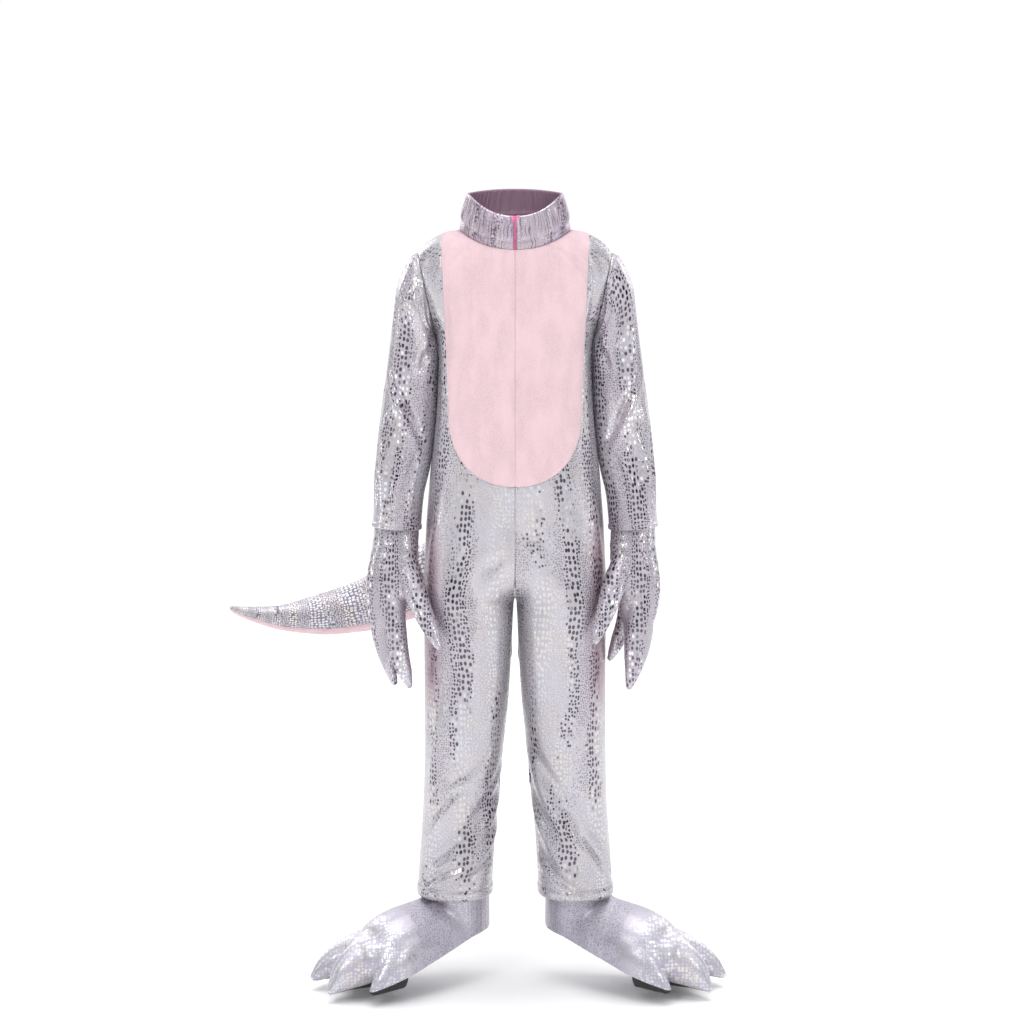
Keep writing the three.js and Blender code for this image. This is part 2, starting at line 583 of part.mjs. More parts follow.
function collar() {
  const columns = 32;
  const frontAngle = Math.asin((ZIP.gap / 2 / NECK.side) ** (SQUARENESS / 2));
  const shares = [0, 0.3, 0.7, 1];
  const grid = (inset) =>
    shares.map((share) =>
      Array.from({ length: columns + 1 }, (_, index) => {
        const angle = lerp(frontAngle, 2 * Math.PI - frontAngle, index / columns);
        const bulge = COLLAR_BULGE * Math.sin(share * Math.PI);
        const low = neckPoint(NECK, angle, bulge - inset);
        low.z += SEAM_GAP + PLUSH_PROUD + 0.2;
        return low.lerp(neckPoint(COLLAR_TOP, angle, bulge - inset), share);
      }),
    );
  return named("collar", wallBetween(grid(0), grid(COLLAR_WALL), false), foil);
}

// The zip's tape, behind the collar's two front edges.
function zipTape() {
  const low = neckPoint(NECK, 0, 0);
  const top = neckPoint(COLLAR_TOP, 0, 0);
  const middle = low.clone().lerp(top, 0.5);
  middle.y -= COLLAR_BULGE;
  low.z += 3 * SEAM_GAP;
  const behind = COLLAR_WALL + 3.5 * SEAM_GAP;
  const edges = [-ZIP.tapeHalf, ZIP.tapeHalf];
  const strip = (inset) =>
    [low, middle, top].map((point) => edges.map((x) => point.clone().add({ x, y: inset, z: 0 })));
  return named("zip_tape", wallBetween(strip(behind), strip(behind + ZIP.tape), false), zipPink);
}

// Tubes with elliptical sections and round ends, for the gloves and the foot covers.
const TUBE_SIDES = 10;
function tubeSolid(stations, wallInset, openStart) {
  const shrink = (value) => Math.max(value - wallInset, 1);
  const rings = stations.map((station, index) => {
    const before = stations[Math.max(index - 1, 0)].centre;
    const after = stations[Math.min(index + 1, stations.length - 1)].centre;
    const ahead = after.clone().sub(before).normalize();
    const side = station.side.clone().addScaledVector(ahead, -station.side.dot(ahead)).normalize();
    const up = ahead.clone().cross(side);
    return { ...station, ahead, side, up, wide: shrink(station.wide), tall: shrink(station.tall) };
  });
  const first = rings[0];
  const last = rings.at(-1);
  const startPole = first.centre.clone().addScaledVector(first.ahead, openStart ? -wallInset * 2 : -1);
  const reach = Math.max(last.wide * 0.9, 0.8);
  const endPole = last.centre.clone().addScaledVector(last.ahead, reach);
  const points = rings.flatMap((ring) =>
    Array.from({ length: TUBE_SIDES }, (_, index) => {
      const angle = (index / TUBE_SIDES) * Math.PI * 2;
      return ring.centre
        .clone()
        .addScaledVector(ring.side, ring.wide * Math.cos(angle))
        .addScaledVector(ring.up, ring.tall * Math.sin(angle));
    }),
  );
  points.push(startPole, endPole);
  const triangles = [];
  for (let index = 0; index < TUBE_SIDES; index += 1) {
    const next = (index + 1) % TUBE_SIDES;
    for (let ring = 0; ring < rings.length - 1; ring += 1) {
      const [a, b] = [ring * TUBE_SIDES + index, ring * TUBE_SIDES + next];
      triangles.push(a, b, b + TUBE_SIDES, a, b + TUBE_SIDES, a + TUBE_SIDES);
    }
    const end = (rings.length - 1) * TUBE_SIDES;
    triangles.push(points.length - 2, next, index, points.length - 1, end + index, end + next);
  }
  return toSolid(closedGeometry(points, triangles));
}

const joined = (solids) => solids.reduce((sum, solid) => sum.add(solid));

function gloveStations(side, rows) {
  return rows.map((row) => ({
    centre: new THREE.Vector3(side * row.x, row.y, row.height),
    side: new THREE.Vector3(1, 0, 0),
    wide: row.wide,
    tall: row.deep,
  }));
}

function glove({ side, hand, claws }, word) {
  const mouth = 30; // the inner hand starts this far above the wrist's edge, to leave it open
  const longer = [{ ...hand[0], height: hand[0].height + mouth }, ...hand];
  const outer = joined([hand, ...claws].map((rows) => tubeSolid(gloveStations(side, rows), 0, false)));
  const inner = joined([longer, ...claws].map((rows) => tubeSolid(gloveStations(side, rows), KNIT, false)));
  const band = (front, back) => {
    const outline = [
      [-FAR, front],
      [FAR, front],
      [FAR, back],
      [-FAR, back],
    ];
    return toSolid(floorPrism(mirrored(outline, side), 0, 2 * FAR + 200));
  };
  const shell = outer.subtract(inner);
  return [
    named(`glove_back_${word}`, toGeometry(shell.intersect(band(-FAR, GLOVE_SEAM_Y - SEAM_GAP / 2))), foil),
    named(`glove_palm_${word}`, toGeometry(shell.intersect(band(GLOVE_SEAM_Y + SEAM_GAP / 2, FAR))), plush),
  ];
}

// A foot cover in its own frame: X forward, Y towards the other foot, Z up.
function footCover() {
  const sideways = new THREE.Vector3(0, 1, 0);
  const station = (row) => ({
    centre: new THREE.Vector3(row.forward, row.inward ?? 0, row.height),
    side: sideways,
    wide: row.wide,
    tall: row.tall,
  });
  const ankle = (inset, extra) => {
    const height = ANKLE.top - ANKLE.low + extra;
    const tube = new THREE.CylinderGeometry(1, 1, height, 24).rotateX(Math.PI / 2);
    return toSolid(
      tube.scale(ANKLE.along - inset, ANKLE.across - inset, 1).translate(0, 0, ANKLE.low + height / 2),
    );
  };
  const volume = (inset, extra) =>
    joined([
      ankle(inset, extra),
      tubeSolid(INSTEP.map(station), inset, false),
      ...FOOT_CLAWS.map((rows) => tubeSolid(rows.map(station), inset, false)),
    ]);
  const shell = volume(0, 0).subtract(volume(KNIT, 20));
  const edge = FOOT_EDGE.map(({ forward, height }) => [forward, height]);
  const edgeBelow = edge.filter(([x]) => x >= CLAW_UNDERSIDE_FROM).map(([x, z]) => [x, z - SEAM_GAP]);
  const above = [...edge, [FAR, edge.at(-1)[1]], [FAR, FAR], [-FAR, FAR], [-FAR, edge[0][1]]];
  const below = [...edgeBelow, [FAR, edgeBelow.at(-1)[1]], [FAR, -FAR], [edgeBelow[0][0], -FAR]];
  return {
    upper: shell.intersect(toSolid(frontPrism(above, -FAR, FAR))),
    underside: shell.intersect(toSolid(frontPrism(below, -FAR, FAR))),
  };
}

function footCoverGroup(side, word) {
  const { upper, underside } = footCover();
  const place = FOOT[side];
  const group = new THREE.Group();
  group.position.set(place.x, place.y, 0);
  group.rotation.z = side * degToRad(place.turn) - Math.PI / 2;
  const inwards = side > 0 ? -1 : 1;
  const flip = (geometry) => {
    if (inwards > 0) return geometry;
    const turned = geometry.scale(1, -1, 1);
    const index = turned.index.array;
    for (let i = 0; i < index.length; i += 3) [index[i + 1], index[i + 2]] = [index[i + 2], index[i + 1]];
    return turned;
  };
  group.add(
    named(`foot_cover_${word}`, flip(toGeometry(upper)), foil),
    named(`claw_underside_${word}`, flip(toGeometry(underside)), darkBacking),
  );
  return group;
}

// The tail: two walls round a stuffed hollow, cut where they meet the seat of the suit.
function tailParts() {
  const route = TAIL_ROUTE.map(({ x, y, height }) => new THREE.Vector3(x, y, height));
  const curve = new THREE.CatmullRomCurve3(route);
  const rows = TAIL_ROUTE.map((row, index) => ({ ...row, index }));
  const steps = 13;
  const last = rows.length - 1;
  const surface = (share, degrees, inset) => {
    const centre = curve.getPoint(share);
    const ahead = curve.getTangent(share);
    const across = new THREE.Vector3(0, 0, 1).cross(ahead).normalize();
    const up = ahead.clone().cross(across);
    const radius = Math.max(readTable(rows, "index", share * last, "radius") - inset, 0.7);
    const angle = degToRad(degrees);
    return centre
      .addScaledVector(across, radius * Math.cos(angle))
      .addScaledVector(up, radius * Math.sin(angle));
  };
  const panel = (from, to, columns, wall) => {
    const grid = (inset) =>
      Array.from({ length: steps + 1 }, (_, row) =>
        Array.from({ length: columns + 1 }, (_, column) =>
          surface(row / steps, lerp(from, to, column / columns), inset),
        ),
      );
    return toSolid(wallBetween(grid(0), grid(wall), false));
  };
  const body = joined([RIGHT, LEFT].map((side) => bodyCore(side)));
  const seam = TAIL_SEAM_DROP;
  const gapAngle = 0.6;
  const top = panel(-seam + gapAngle, 180 + seam - gapAngle, 11, KNIT).subtract(body);
  const under = panel(180 + seam + gapAngle, 360 - seam - gapAngle, 6, KNIT).subtract(body);
  const kept = (solid) => solid.decompose().sort((a, b) => b.volume() - a.volume())[0];
  return [
    named("tail_top", toGeometry(kept(top)), foil),
    named("tail_underside", toGeometry(kept(under)), plush),
  ];
}

// One half of the body as a filled form, grown by the seam's gap, for cutting the tail's root.
function bodyCore(side) {
  const rows = BODY_ROWS.filter((row) => row > CROTCH - 40 && row < YOKE);
  const limits = { rows: [HEM, YOKE + NECK_ROW], columns: 1, steps: [2, 0.02], closed: false };
  const grid = rows.map((row) => {
    const ring = [];
    for (const face of [-1, 1])
      for (let index = 0; index <= BODY_COLUMNS; index += 1) {
        const turn = (face < 0 ? BODY_COLUMNS - index : index) / BODY_COLUMNS;
        const surface = (r, t) => bodyPoint(side, face, r, t);
        const normal = normalOf(surface, row, turn, limits, side * face);
        const point = surface(row, turn).addScaledVector(normal, SEAM_GAP);
        point.y += (face * SEAM_GAP) / 2;
        if (index === (face < 0 ? 0 : BODY_COLUMNS)) point.x = -side;
        ring.push(point);
      }
    return ring;
  });
  const centre = (row) =>
    grid[row].reduce((sum, point) => sum.add(point), new THREE.Vector3()).divideScalar(grid[row].length);
  const columns = grid[0].length;
  const points = [...grid.flat(), centre(0), centre(grid.length - 1)];
  const triangles = [];
  for (let column = 0; column < columns; column += 1) {
    const next = (column + 1) % columns;
    for (let row = 0; row < grid.length - 1; row += 1) {
      const [a, b] = [row * columns + column, row * columns + next];
      triangles.push(a, b, b + columns, a, b + columns, a + columns);
    }
    const end = (grid.length - 1) * columns;
    triangles.push(points.length - 2, next, column, points.length - 1, end + column, end + next);
  }
  return toSolid(closedGeometry(points, triangles));
}

const costume = new THREE.Group();
const fromFloor = new THREE.Group();
fromFloor.position.z = -SHOULDER_HEIGHT;
costume.add(fromFloor);

for (const [side, word] of [[RIGHT, "right"], [LEFT, "left"]]) {
  fromFloor.add(...bodyPanels(side, word), sleeve(side, word));
  fromFloor.add(...glove(GLOVES[side < 0 ? 0 : 1], word), footCoverGroup(side, word));
}
fromFloor.add(collar(), zipTape(), ...tailParts());

export default costume;
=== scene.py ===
"""A child's dinosaur costume of foil-printed knit and pink plush, filled out as it is worn.

Tables are in millimetres, with heights above the floor under the wearer. Finished meshes are in
metres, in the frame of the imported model: +Z up, the wearer faces -Y, the origin between the
shoulders.
"""

import math

import bmesh
import bpy
import numpy as np
from mathutils import Matrix, Vector


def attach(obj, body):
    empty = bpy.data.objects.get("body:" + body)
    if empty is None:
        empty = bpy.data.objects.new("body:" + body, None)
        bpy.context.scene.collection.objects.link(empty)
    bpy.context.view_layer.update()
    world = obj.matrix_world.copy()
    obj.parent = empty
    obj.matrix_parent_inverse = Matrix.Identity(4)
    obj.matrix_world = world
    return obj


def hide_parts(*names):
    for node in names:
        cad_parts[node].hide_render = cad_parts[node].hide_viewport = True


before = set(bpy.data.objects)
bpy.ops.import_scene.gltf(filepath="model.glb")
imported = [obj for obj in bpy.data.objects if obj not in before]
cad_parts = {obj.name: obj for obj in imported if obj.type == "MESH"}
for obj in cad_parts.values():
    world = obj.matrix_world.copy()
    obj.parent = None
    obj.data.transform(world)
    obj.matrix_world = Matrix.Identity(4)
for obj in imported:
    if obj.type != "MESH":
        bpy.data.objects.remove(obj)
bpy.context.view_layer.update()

bl_info = {
    "name": "Dinosaur Costume",
    "version": (1, 0, 0),
    "blender": (4, 5, 0),
    "location": "View3D > Sidebar > Costume",
    "description": "Builds a child's dinosaur costume of foil-printed knit and plush",
    "category": "Add Mesh",
}

MM = 0.001
SHOULDER_HEIGHT = 919.0
RIGHT, LEFT = -1, 1
FRONT, BACK = -1, 1
SIDE_WORDS = {RIGHT: "right", LEFT: "left"}
FACE_WORDS = {FRONT: "front", BACK: "back"}

# Sections of one half of the suit: height, half width, middle of that half's own loop, and the
# depths of the front and back.
BODY_SECTIONS = np.array(
    [
        (112, 116, 70, 50, 50),
        (150, 113.5, 68, 51, 50),
        (226, 109, 63.5, 55, 53),
        (300, 108.5, 60, 61, 59),
        (350, 109, 58, 65, 64),
        (400, 109.5, 57, 69, 70),
        (440, 110, 56.5, 73, 76),
        (465, 110.5, 56.3, 75, 80),
        (478, 110.5, 55.6, 76, 82),
        (490, 110.5, 50, 77, 84),
        (506, 110, 39, 78, 85),
        (526, 109, 26, 79, 85),
        (550, 108, 13, 80, 84),
        (575, 106.5, 4, 81, 81),
        (600, 104.5, 0, 82, 77),
        (630, 102, 0, 83, 73),
        (665, 98, 0, 82, 71),
        (700, 94.5, 0, 80, 72),
        (735, 92.5, 0, 77, 74),
        (770, 92, 0, 74, 76),
        (800, 95.5, 0, 71, 77),
        (825, 109, 0, 68, 76),
        (848, 119, 0, 65, 73),
        (865, 123, 0, 62, 69),
    ],
    dtype=float,
)
HEM = BODY_SECTIONS[0, 0]
YOKE = BODY_SECTIONS[-1, 0]
NECK_ROW = 100.0
CROTCH = 478.0
SQUARENESS = 2.3
YOKE_POWER = 2.05
LEG_LEAN = {RIGHT: 4.0, LEFT: 4.5}
NECK = {"side": 66, "front": 57, "back": 50, "height": 919, "front_drop": 22, "back_rise": 9}
COLLAR_TOP = {"side": 57, "front": 58, "back": 46, "height": 964, "front_drop": 27, "back_rise": 5}
ARMHOLE = {"top_x": 118.0, "top_z": 905.0, "low_x": 96.0, "low_z": 800.0}
BELLY = {"top_half": 88.0, "low_half": 78.5, "round_from": 702.0, "bottom": 621.0, "power": 2.2}
HALF_GIRTH = 165.0  # cloth across one panel, from side seam to middle seam
SEAM_GAP = 0.1

# Creases of the suit. Each runs between two heights, from one place across the panel to another
# (0 at the side seam, 1 at the middle seam or inseam), with its half width and its depth.
CREASES = [
    # side, face, low, high, across at low, across at high, width, depth
    (RIGHT, FRONT, 150, 255, 0.25, 0.95, 13, -5.0),
    (RIGHT, FRONT, 185, 300, 0.10, 0.62, 12, -4.0),
    (RIGHT, FRONT, 128, 205, 0.40, 1.00, 12, 4.0),
    (RIGHT, FRONT, 265, 400, 0.10, 0.35, 12, -4.0),
    (RIGHT, FRONT, 330, 560, 0.50, 0.70, 18, -3.0),
    (RIGHT, FRONT, 118, 160, 0.05, 0.55, 9, -3.0),
    (RIGHT, FRONT, 205, 290, 0.55, 1.00, 8, -2.6),
    (RIGHT, FRONT, 225, 262, 0.20, 0.50, 8, 2.2),
    (RIGHT, FRONT, 470, 600, 0.86, 0.97, 9, -2.4),
    (RIGHT, FRONT, 480, 540, 0.55, 0.90, 10, -2.0),
    (RIGHT, FRONT, 520, 640, 0.12, 0.30, 12, -2.4),
    (RIGHT, FRONT, 640, 790, 0.20, 0.14, 8, -2.2),
    (RIGHT, FRONT, 770, 860, 0.34, 0.55, 9, -1.8),
    (RIGHT, BACK, 140, 250, 0.20, 0.80, 14, -5.0),
    (RIGHT, BACK, 230, 360, 0.75, 0.30, 16, -4.0),
    (RIGHT, BACK, 180, 235, 0.10, 0.45, 10, -3.0),
    (RIGHT, BACK, 400, 470, 0.90, 0.35, 12, -3.0),
    (RIGHT, BACK, 690, 800, 0.20, 0.75, 16, -3.0),
    (RIGHT, BACK, 630, 700, 0.30, 0.90, 14, -2.6),
    (LEFT, FRONT, 145, 300, 0.20, 0.78, 13, -5.5),
    (LEFT, FRONT, 125, 230, 0.45, 0.90, 12, 4.0),
    (LEFT, FRONT, 135, 200, 0.05, 0.40, 12, -4.0),
    (LEFT, FRONT, 300, 520, 0.30, 0.60, 18, -3.0),
    (LEFT, FRONT, 190, 265, 0.62, 1.00, 9, -2.8),
    (LEFT, FRONT, 116, 165, 0.40, 0.85, 8, -2.4),
    (LEFT, FRONT, 470, 590, 0.88, 0.96, 9, -2.2),
    (LEFT, FRONT, 485, 560, 0.50, 0.85, 10, -2.0),
    (LEFT, FRONT, 530, 650, 0.10, 0.28, 12, -2.4),
    (LEFT, FRONT, 650, 785, 0.22, 0.14, 8, -2.2),
    (LEFT, FRONT, 790, 868, 0.30, 0.50, 8, -2.0),
    (LEFT, FRONT, 850, 912, 0.50, 0.74, 5, -1.8),
    (LEFT, FRONT, 842, 908, 0.40, 0.58, 5, -1.6),
    (RIGHT, FRONT, 850, 905, 0.50, 0.66, 6, -1.2),
    (LEFT, BACK, 135, 260, 0.15, 0.85, 14, -5.0),
    (LEFT, BACK, 240, 380, 0.80, 0.25, 16, -4.0),
    (LEFT, BACK, 175, 240, 0.60, 0.95, 10, -3.0),
    (LEFT, BACK, 395, 465, 0.92, 0.40, 12, -3.0),
    (LEFT, BACK, 680, 790, 0.25, 0.80, 16, -3.0),
    (LEFT, BACK, 640, 720, 0.35, 0.95, 14, -2.6),
]

# Sections of a sleeve below its armhole: the outer and inner points, the depth and its middle.
SLEEVE_SECTIONS = np.array(
    [
        (133, 886, 96.6, 800.5, 47, 3),
        (141, 855, 95.0, 797, 45, 3),
        (145.5, 820, 92.4, 790, 42, 3),
        (150, 784, 90.4, 774, 39, 3),
        (154.5, 753, 91.5, 750, 37, 3),
        (158, 724, 92.3, 722, 35.5, 2),
        (162, 696, 94.3, 694, 34.5, 1),
        (165.5, 667, 97.6, 665, 34, -1),
        (168, 638, 102.0, 636, 33, -4),
        (169.5, 609, 109, 606, 32, -7),
        (170.5, 582, 112, 579, 30.5, -9),
        (172, 566, 113, 562, 30, -10),
    ],
    dtype=float,
)
SLEEVE_GIRTH = 208.0
SLEEVE_LENGTH = 330.0
# Creases of both sleeves. Each runs between two sections and two angles from the arm's outer side
# (negative in front), with its half width and its depth.
SLEEVE_CREASES = [
    # low section, high section, angle at low, angle at high, width, depth
    (1.2, 6.4, -38, -62, 6.0, 4.2),
    (1.6, 5.6, -72, -96, 6.5, -4.6),
    (0.1, 2.3, -62, -138, 5.0, 3.6),
    (0.2, 2.6, -88, -165, 5.5, -3.6),
    (2.6, 5.2, -150, -104, 6.0, -4.0),
    (3.0, 5.0, -118, -132, 5.0, 2.6),
    (5.0, 7.4, -40, -112, 5.5, -4.6),
    (5.9, 8.3, -66, -140, 5.5, -3.6),
    (6.6, 10.2, -30, -52, 6.0, 3.6),
    (7.3, 10.6, -78, -60, 6.0, -3.6),
    (8.2, 10.8, -118, -92, 5.0, -2.8),
    (8.8, 10.9, -24, -38, 5.0, -2.4),
    (3.6, 6.6, 20, -14, 5.5, -2.8),
    (0.6, 3.0, 60, 118, 6.0, -3.6),
    (2.2, 5.4, 96, 70, 6.5, 3.2),
    (4.4, 7.6, 48, 118, 6.0, -4.2),
    (6.4, 9.2, 130, 84, 6.0, -3.6),
    (8.0, 10.8, 60, 92, 5.5, -3.0),
]

TAIL_ROUTE = np.array(
    [
        (30, 0, 578, 59),
        (0, 52, 548, 57),
        (-34, 116, 516, 54),
        (-80, 148, 489, 47.5),
        (-124, 157, 471, 42),
        (-187, 158, 444, 33.6),
        (-246, 150, 432, 26),
        (-299, 138, 430, 15.5),
        (-344, 126, 439, 7),
        (-359, 121, 445, 3),
    ],
    dtype=float,
)
TAIL_SEAM_DROP = 39.0
TAIL_SEAT_GAP = 0.8  # between the tail's root and the seat of the suit
TAIL_ROOT_SHARE = 0.3  # the share of the route within which the tail can meet the seat

# Gloves: tubes of the hand and its claws, as distance from the middle, y, height, half width and
# half depth.
GLOVES = {
    RIGHT: [
        [
            (142.2, -10, 592, 25.5, 23),
            (142.4, -10, 563, 26.8, 22),
            (144.5, -17, 537, 28, 20),
            (149, -24, 508, 29, 18.5),
            (153, -25, 484, 27, 17),
            (155, -25, 462, 23, 15),
        ],
        [
            (129, -24, 522, 13, 12),
            (120, -43, 492, 14, 13),
            (107, -66, 465, 11.5, 11),
            (98, -74, 447, 9, 8.5),
            (90, -84, 431, 4.5, 4),
        ],
        [
            (162, -22, 482, 13, 13),
            (162, -21, 444, 12, 12),
            (157.5, -20, 418, 10.5, 10.5),
            (151, -19, 394, 8, 7.5),
            (146, -19, 376, 4.5, 4),
        ],
        [
            (146, -29, 480, 13.5, 13),
            (143, -32, 437, 13.5, 12.5),
            (139, -33, 413, 12, 11),
            (132.5, -33, 391, 9, 8),
            (127, -33, 375, 4.5, 4),
        ],
    ],
    LEFT: [
        [
            (142.2, -10, 592, 25.5, 23),
            (142.2, -10, 563, 26.8, 22),
            (142, -17, 537, 28, 20),
            (145, -24, 508, 29, 18.5),
            (148, -25, 484, 27, 17),
            (149, -25, 462, 22, 15),
        ],
        [
            (128, -24, 524, 13, 12),
            (117, -51, 497, 14, 13),
            (107, -67, 470, 11.5, 11),
            (100, -73, 452, 9, 8.5),
            (95, -81, 437, 4.5, 4),
        ],
        [
            (138, -18, 480, 12, 13),
            (132, -14, 448, 10.5, 12),
            (126, -12, 430, 9.5, 10.5),
            (120, -11, 415, 7, 7.5),
            (115, -11, 404, 4, 4),
        ],
        [
            (150, -28, 482, 17, 15),
            (150, -31, 452, 17, 14),
            (147, -32, 424, 16, 12.5),
            (142.5, -32, 396, 11, 9),
            (137.5, -32, 373, 4.5, 4),
        ],
    ],
}
GLOVE_SEAM_Y = -12.0
GLOVE_WRIST = 590.0
GLOVE_RIPPLES = {"from": 455.0, "middle": 525.0, "reach": 45.0}

# Foot covers in their own frame: forward, towards the other foot, height, half width, half height.
FOOT = {RIGHT: (-70.0, 4.0, 58.0), LEFT: (76.0, 4.0, 62.0)}
ANKLE = {"along": 39.3, "across": 37.8, "top": 150.0, "low": 34.0}
FOOT_TUBES = [
    [
        (-27, 0, 66, 31, 30),
        (8, 0, 58, 39, 51),
        (40, 0, 52, 45, 58),
        (72, 0, 54, 50, 50),
        (100, 0, 53, 48, 41),
        (118, 0, 49, 40, 31),
    ],
    [
        (84, -29, 45, 27, 34),
        (125, -42, 38, 23, 26),
        (155, -50, 27, 15.5, 16),
        (173, -53, 16, 6, 6),
    ],
    [
        (84, 2, 48, 26, 38),
        (126, 2, 43, 25, 33),
        (156, 2, 32, 18, 23),
        (180, 3, 15, 6, 6),
    ],
    [
        (60, 24, 48, 23, 34),
        (98, 31, 42, 22, 32),
        (122, 37, 30, 15, 19),
        (142, 41, 18, 6, 6),
    ],
]
FOOT_EDGE = [(-60, 76), (0, 63), (60, 44), (100, 31), (140, 20), (190, 8)]
CLAW_UNDERSIDE_FROM = 100.0


class CostumeSizes(bpy.types.PropertyGroup):
    """Sizes of the costume's cloth and trim."""

    knit: bpy.props.FloatProperty(
        name="Knit",
        description="Thickness of the foil-printed knit",
        default=0.0014,
        unit="LENGTH",
    )
    plush: bpy.props.FloatProperty(
        name="Plush",
        description="Thickness of the plush with its pile",
        default=0.0026,
        unit="LENGTH",
    )
    collar: bpy.props.FloatProperty(
        name="Collar",
        description="Thickness of the collar, two layers of knit",
        default=0.0024,
        unit="LENGTH",
    )
    grid: bpy.props.FloatProperty(
        name="Grid",
        description="Spacing of the cloth's vertices",
        default=0.0032,
        unit="LENGTH",
    )
    trouser_hem: bpy.props.FloatProperty(
        name="Trouser hem",
        description="Depth of the turned-up hem at each ankle",
        default=0.012,
        unit="LENGTH",
    )
    sleeve_hem: bpy.props.FloatProperty(
        name="Sleeve hem",
        description="Depth of the turned-up hem at each wrist",
        default=0.013,
        unit="LENGTH",
    )
    stitch: bpy.props.FloatProperty(
        name="Stitch",
        description="Length of one stitch",
        default=0.0026,
        unit="LENGTH",
    )
    thread: bpy.props.FloatProperty(
        name="Thread",
        description="Thickness of the sewing thread",
        default=0.0005,
        unit="LENGTH",
    )
    large_scale: bpy.props.FloatProperty(
        name="Large scale",
        description="Width of the largest foil scales",
        default=0.0052,
        unit="LENGTH",
    )


class CostumeColours(bpy.types.PropertyGroup):
    """Colours of the costume's cloth and trim."""

    ground: bpy.props.FloatVectorProperty(
        name="Knit ground",
        description="Matt lilac-grey between the foil scales",
        subtype="COLOR",
        size=3,
        default=(0.560, 0.528, 0.585),
    )
    lining: bpy.props.FloatVectorProperty(
        name="Knit lining",
        description="Purple-pink wrong side of the foil knit",
        subtype="COLOR",
        size=3,
        default=(0.42, 0.27, 0.36),
    )
    # Painted dark reflection: the near-black colour given to scales that stand for foil reflecting dark
    # surroundings.
    gunmetal: bpy.props.FloatVectorProperty(
        name="Dark foil",
        description="Gunmetal of the scales in the dark stretches",
        subtype="COLOR",
        size=3,
        default=(0.060, 0.048, 0.062),
    )
    plush: bpy.props.FloatVectorProperty(
        name="Plush",
        description="Pale pink of the belly, palms and underside of the tail",
        subtype="COLOR",
        size=3,
        default=(0.80, 0.585, 0.625),
    )
    zip: bpy.props.FloatVectorProperty(
        name="Zip",
        description="Hot pink of the zip",
        subtype="COLOR",
        size=3,
        default=(0.95, 0.22, 0.46),
    )
    backing: bpy.props.FloatVectorProperty(
        name="Claw backing",
        description="Near-black cloth under the claws",
        subtype="COLOR",
        size=3,
        default=(0.012, 0.012, 0.014),
    )


def sizes():
    return bpy.context.scene.costume_sizes


def colours():
    return bpy.context.scene.costume_colours


def read_table(table, at, column, keys=None):
    """One column of a table at each value of its key, on a smooth curve through the rows."""
    keys = table[:, 0] if keys is None else keys
    values = table[:, column]
    place = np.clip(np.asarray(at, dtype=float), keys[0], keys[-1])
    row = np.clip(np.searchsorted(keys, place, side="left") - 1, 0, len(keys) - 2)
    before, after = np.maximum(row - 1, 0), np.minimum(row + 2, len(keys) - 1)
    span = keys[row + 1] - keys[row]
    share = (place - keys[row]) / span
    slope_here = (values[row + 1] - values[before]) / (keys[row + 1] - keys[before]) * span
    slope_next = (values[after] - values[row]) / (keys[after] - keys[row]) * span
    square, cube = share**2, share**3
    return (
        (2 * cube - 3 * square + 1) * values[row]
        + (cube - 2 * square + share) * slope_here
        + (3 * square - 2 * cube) * values[row + 1]
        + (cube - square) * slope_next
    )


def smooth_step(value, low, high):
    share = np.clip((value - low) / (high - low), 0, 1)
    return share * share * (3 - 2 * share)


def signed_power(value, power):
    return np.sign(value) * np.abs(value) ** power


def bump_at(value, centre, width):
    return np.exp(-(((value - centre) / width) ** 2))


def body_creases(side, face, height, turn):
    """How far the suit's cloth is pushed out or in by its creases."""
    push = np.zeros(np.broadcast(height, turn).shape)
    for crease_side, crease_face, low, high, at_low, at_high, width, depth in CREASES:
        if (crease_side, crease_face) != (side, face):
            continue
        along = (height - low) / (high - low)
        centre = at_low + (at_high - at_low) * np.clip(along, 0, 1)
        away = (turn - centre) * math.pi * 50 / width
        ends = smooth_step(along, -0.15, 0.25) * (1 - smooth_step(along, 0.7, 1.15))
        valley = np.exp(-away * away)
        shoulder = 0.45 * np.exp(-((away - 1.9) ** 2))
        push += depth * ends * (valley - shoulder)
    return push


def body_points(side, face, row, turn):
    """Points of the suit in millimetres, from arrays of rows and of turns across the panel."""
    low = np.minimum(row, YOKE)
    reach, lobe = read_table(BODY_SECTIONS, low, 1), np.maximum(read_table(BODY_SECTIONS, low, 2), 0)
    depth = read_table(BODY_SECTIONS, low, 3 if face == FRONT else 4)
    angle = np.clip((row - YOKE) / NECK_ROW, 0, 1) * math.pi / 2
    inwards = 1 - np.abs(np.cos(angle)) ** (2 / YOKE_POWER)
    upwards = np.abs(np.sin(angle)) ** (2 / YOKE_POWER)
    reach = reach + (NECK["side"] - reach) * inwards
    depth = depth + (NECK[FACE_WORDS[face]] - depth) * inwards
    middle = -NECK["front_drop"] if face == FRONT else NECK["back_rise"]
    level = NECK["height"] + middle * np.sin(turn * math.pi / 2) ** 2
    height = low + (level - low) * upwards
    radius = reach - lobe
    share = np.clip(lobe / radius, 0, 1) ** (SQUARENESS / 2)
    around = turn * (math.pi - np.arccos(share))
    push = body_creases(side, face, height, turn)
    push = push + trouser_hem_shape(height)
    x = lobe + (radius + push) * signed_power(np.cos(around), 2 / SQUARENESS)
    y = face * (depth + push) * signed_power(np.sin(around), 2 / SQUARENESS)
    lean = LEG_LEAN[side] * smooth_step(CROTCH - height, 0, CROTCH - HEM)
    x = side * (np.maximum(x, 0) + lean)
    return np.stack(np.broadcast_arrays(x, y, height), axis=-1)


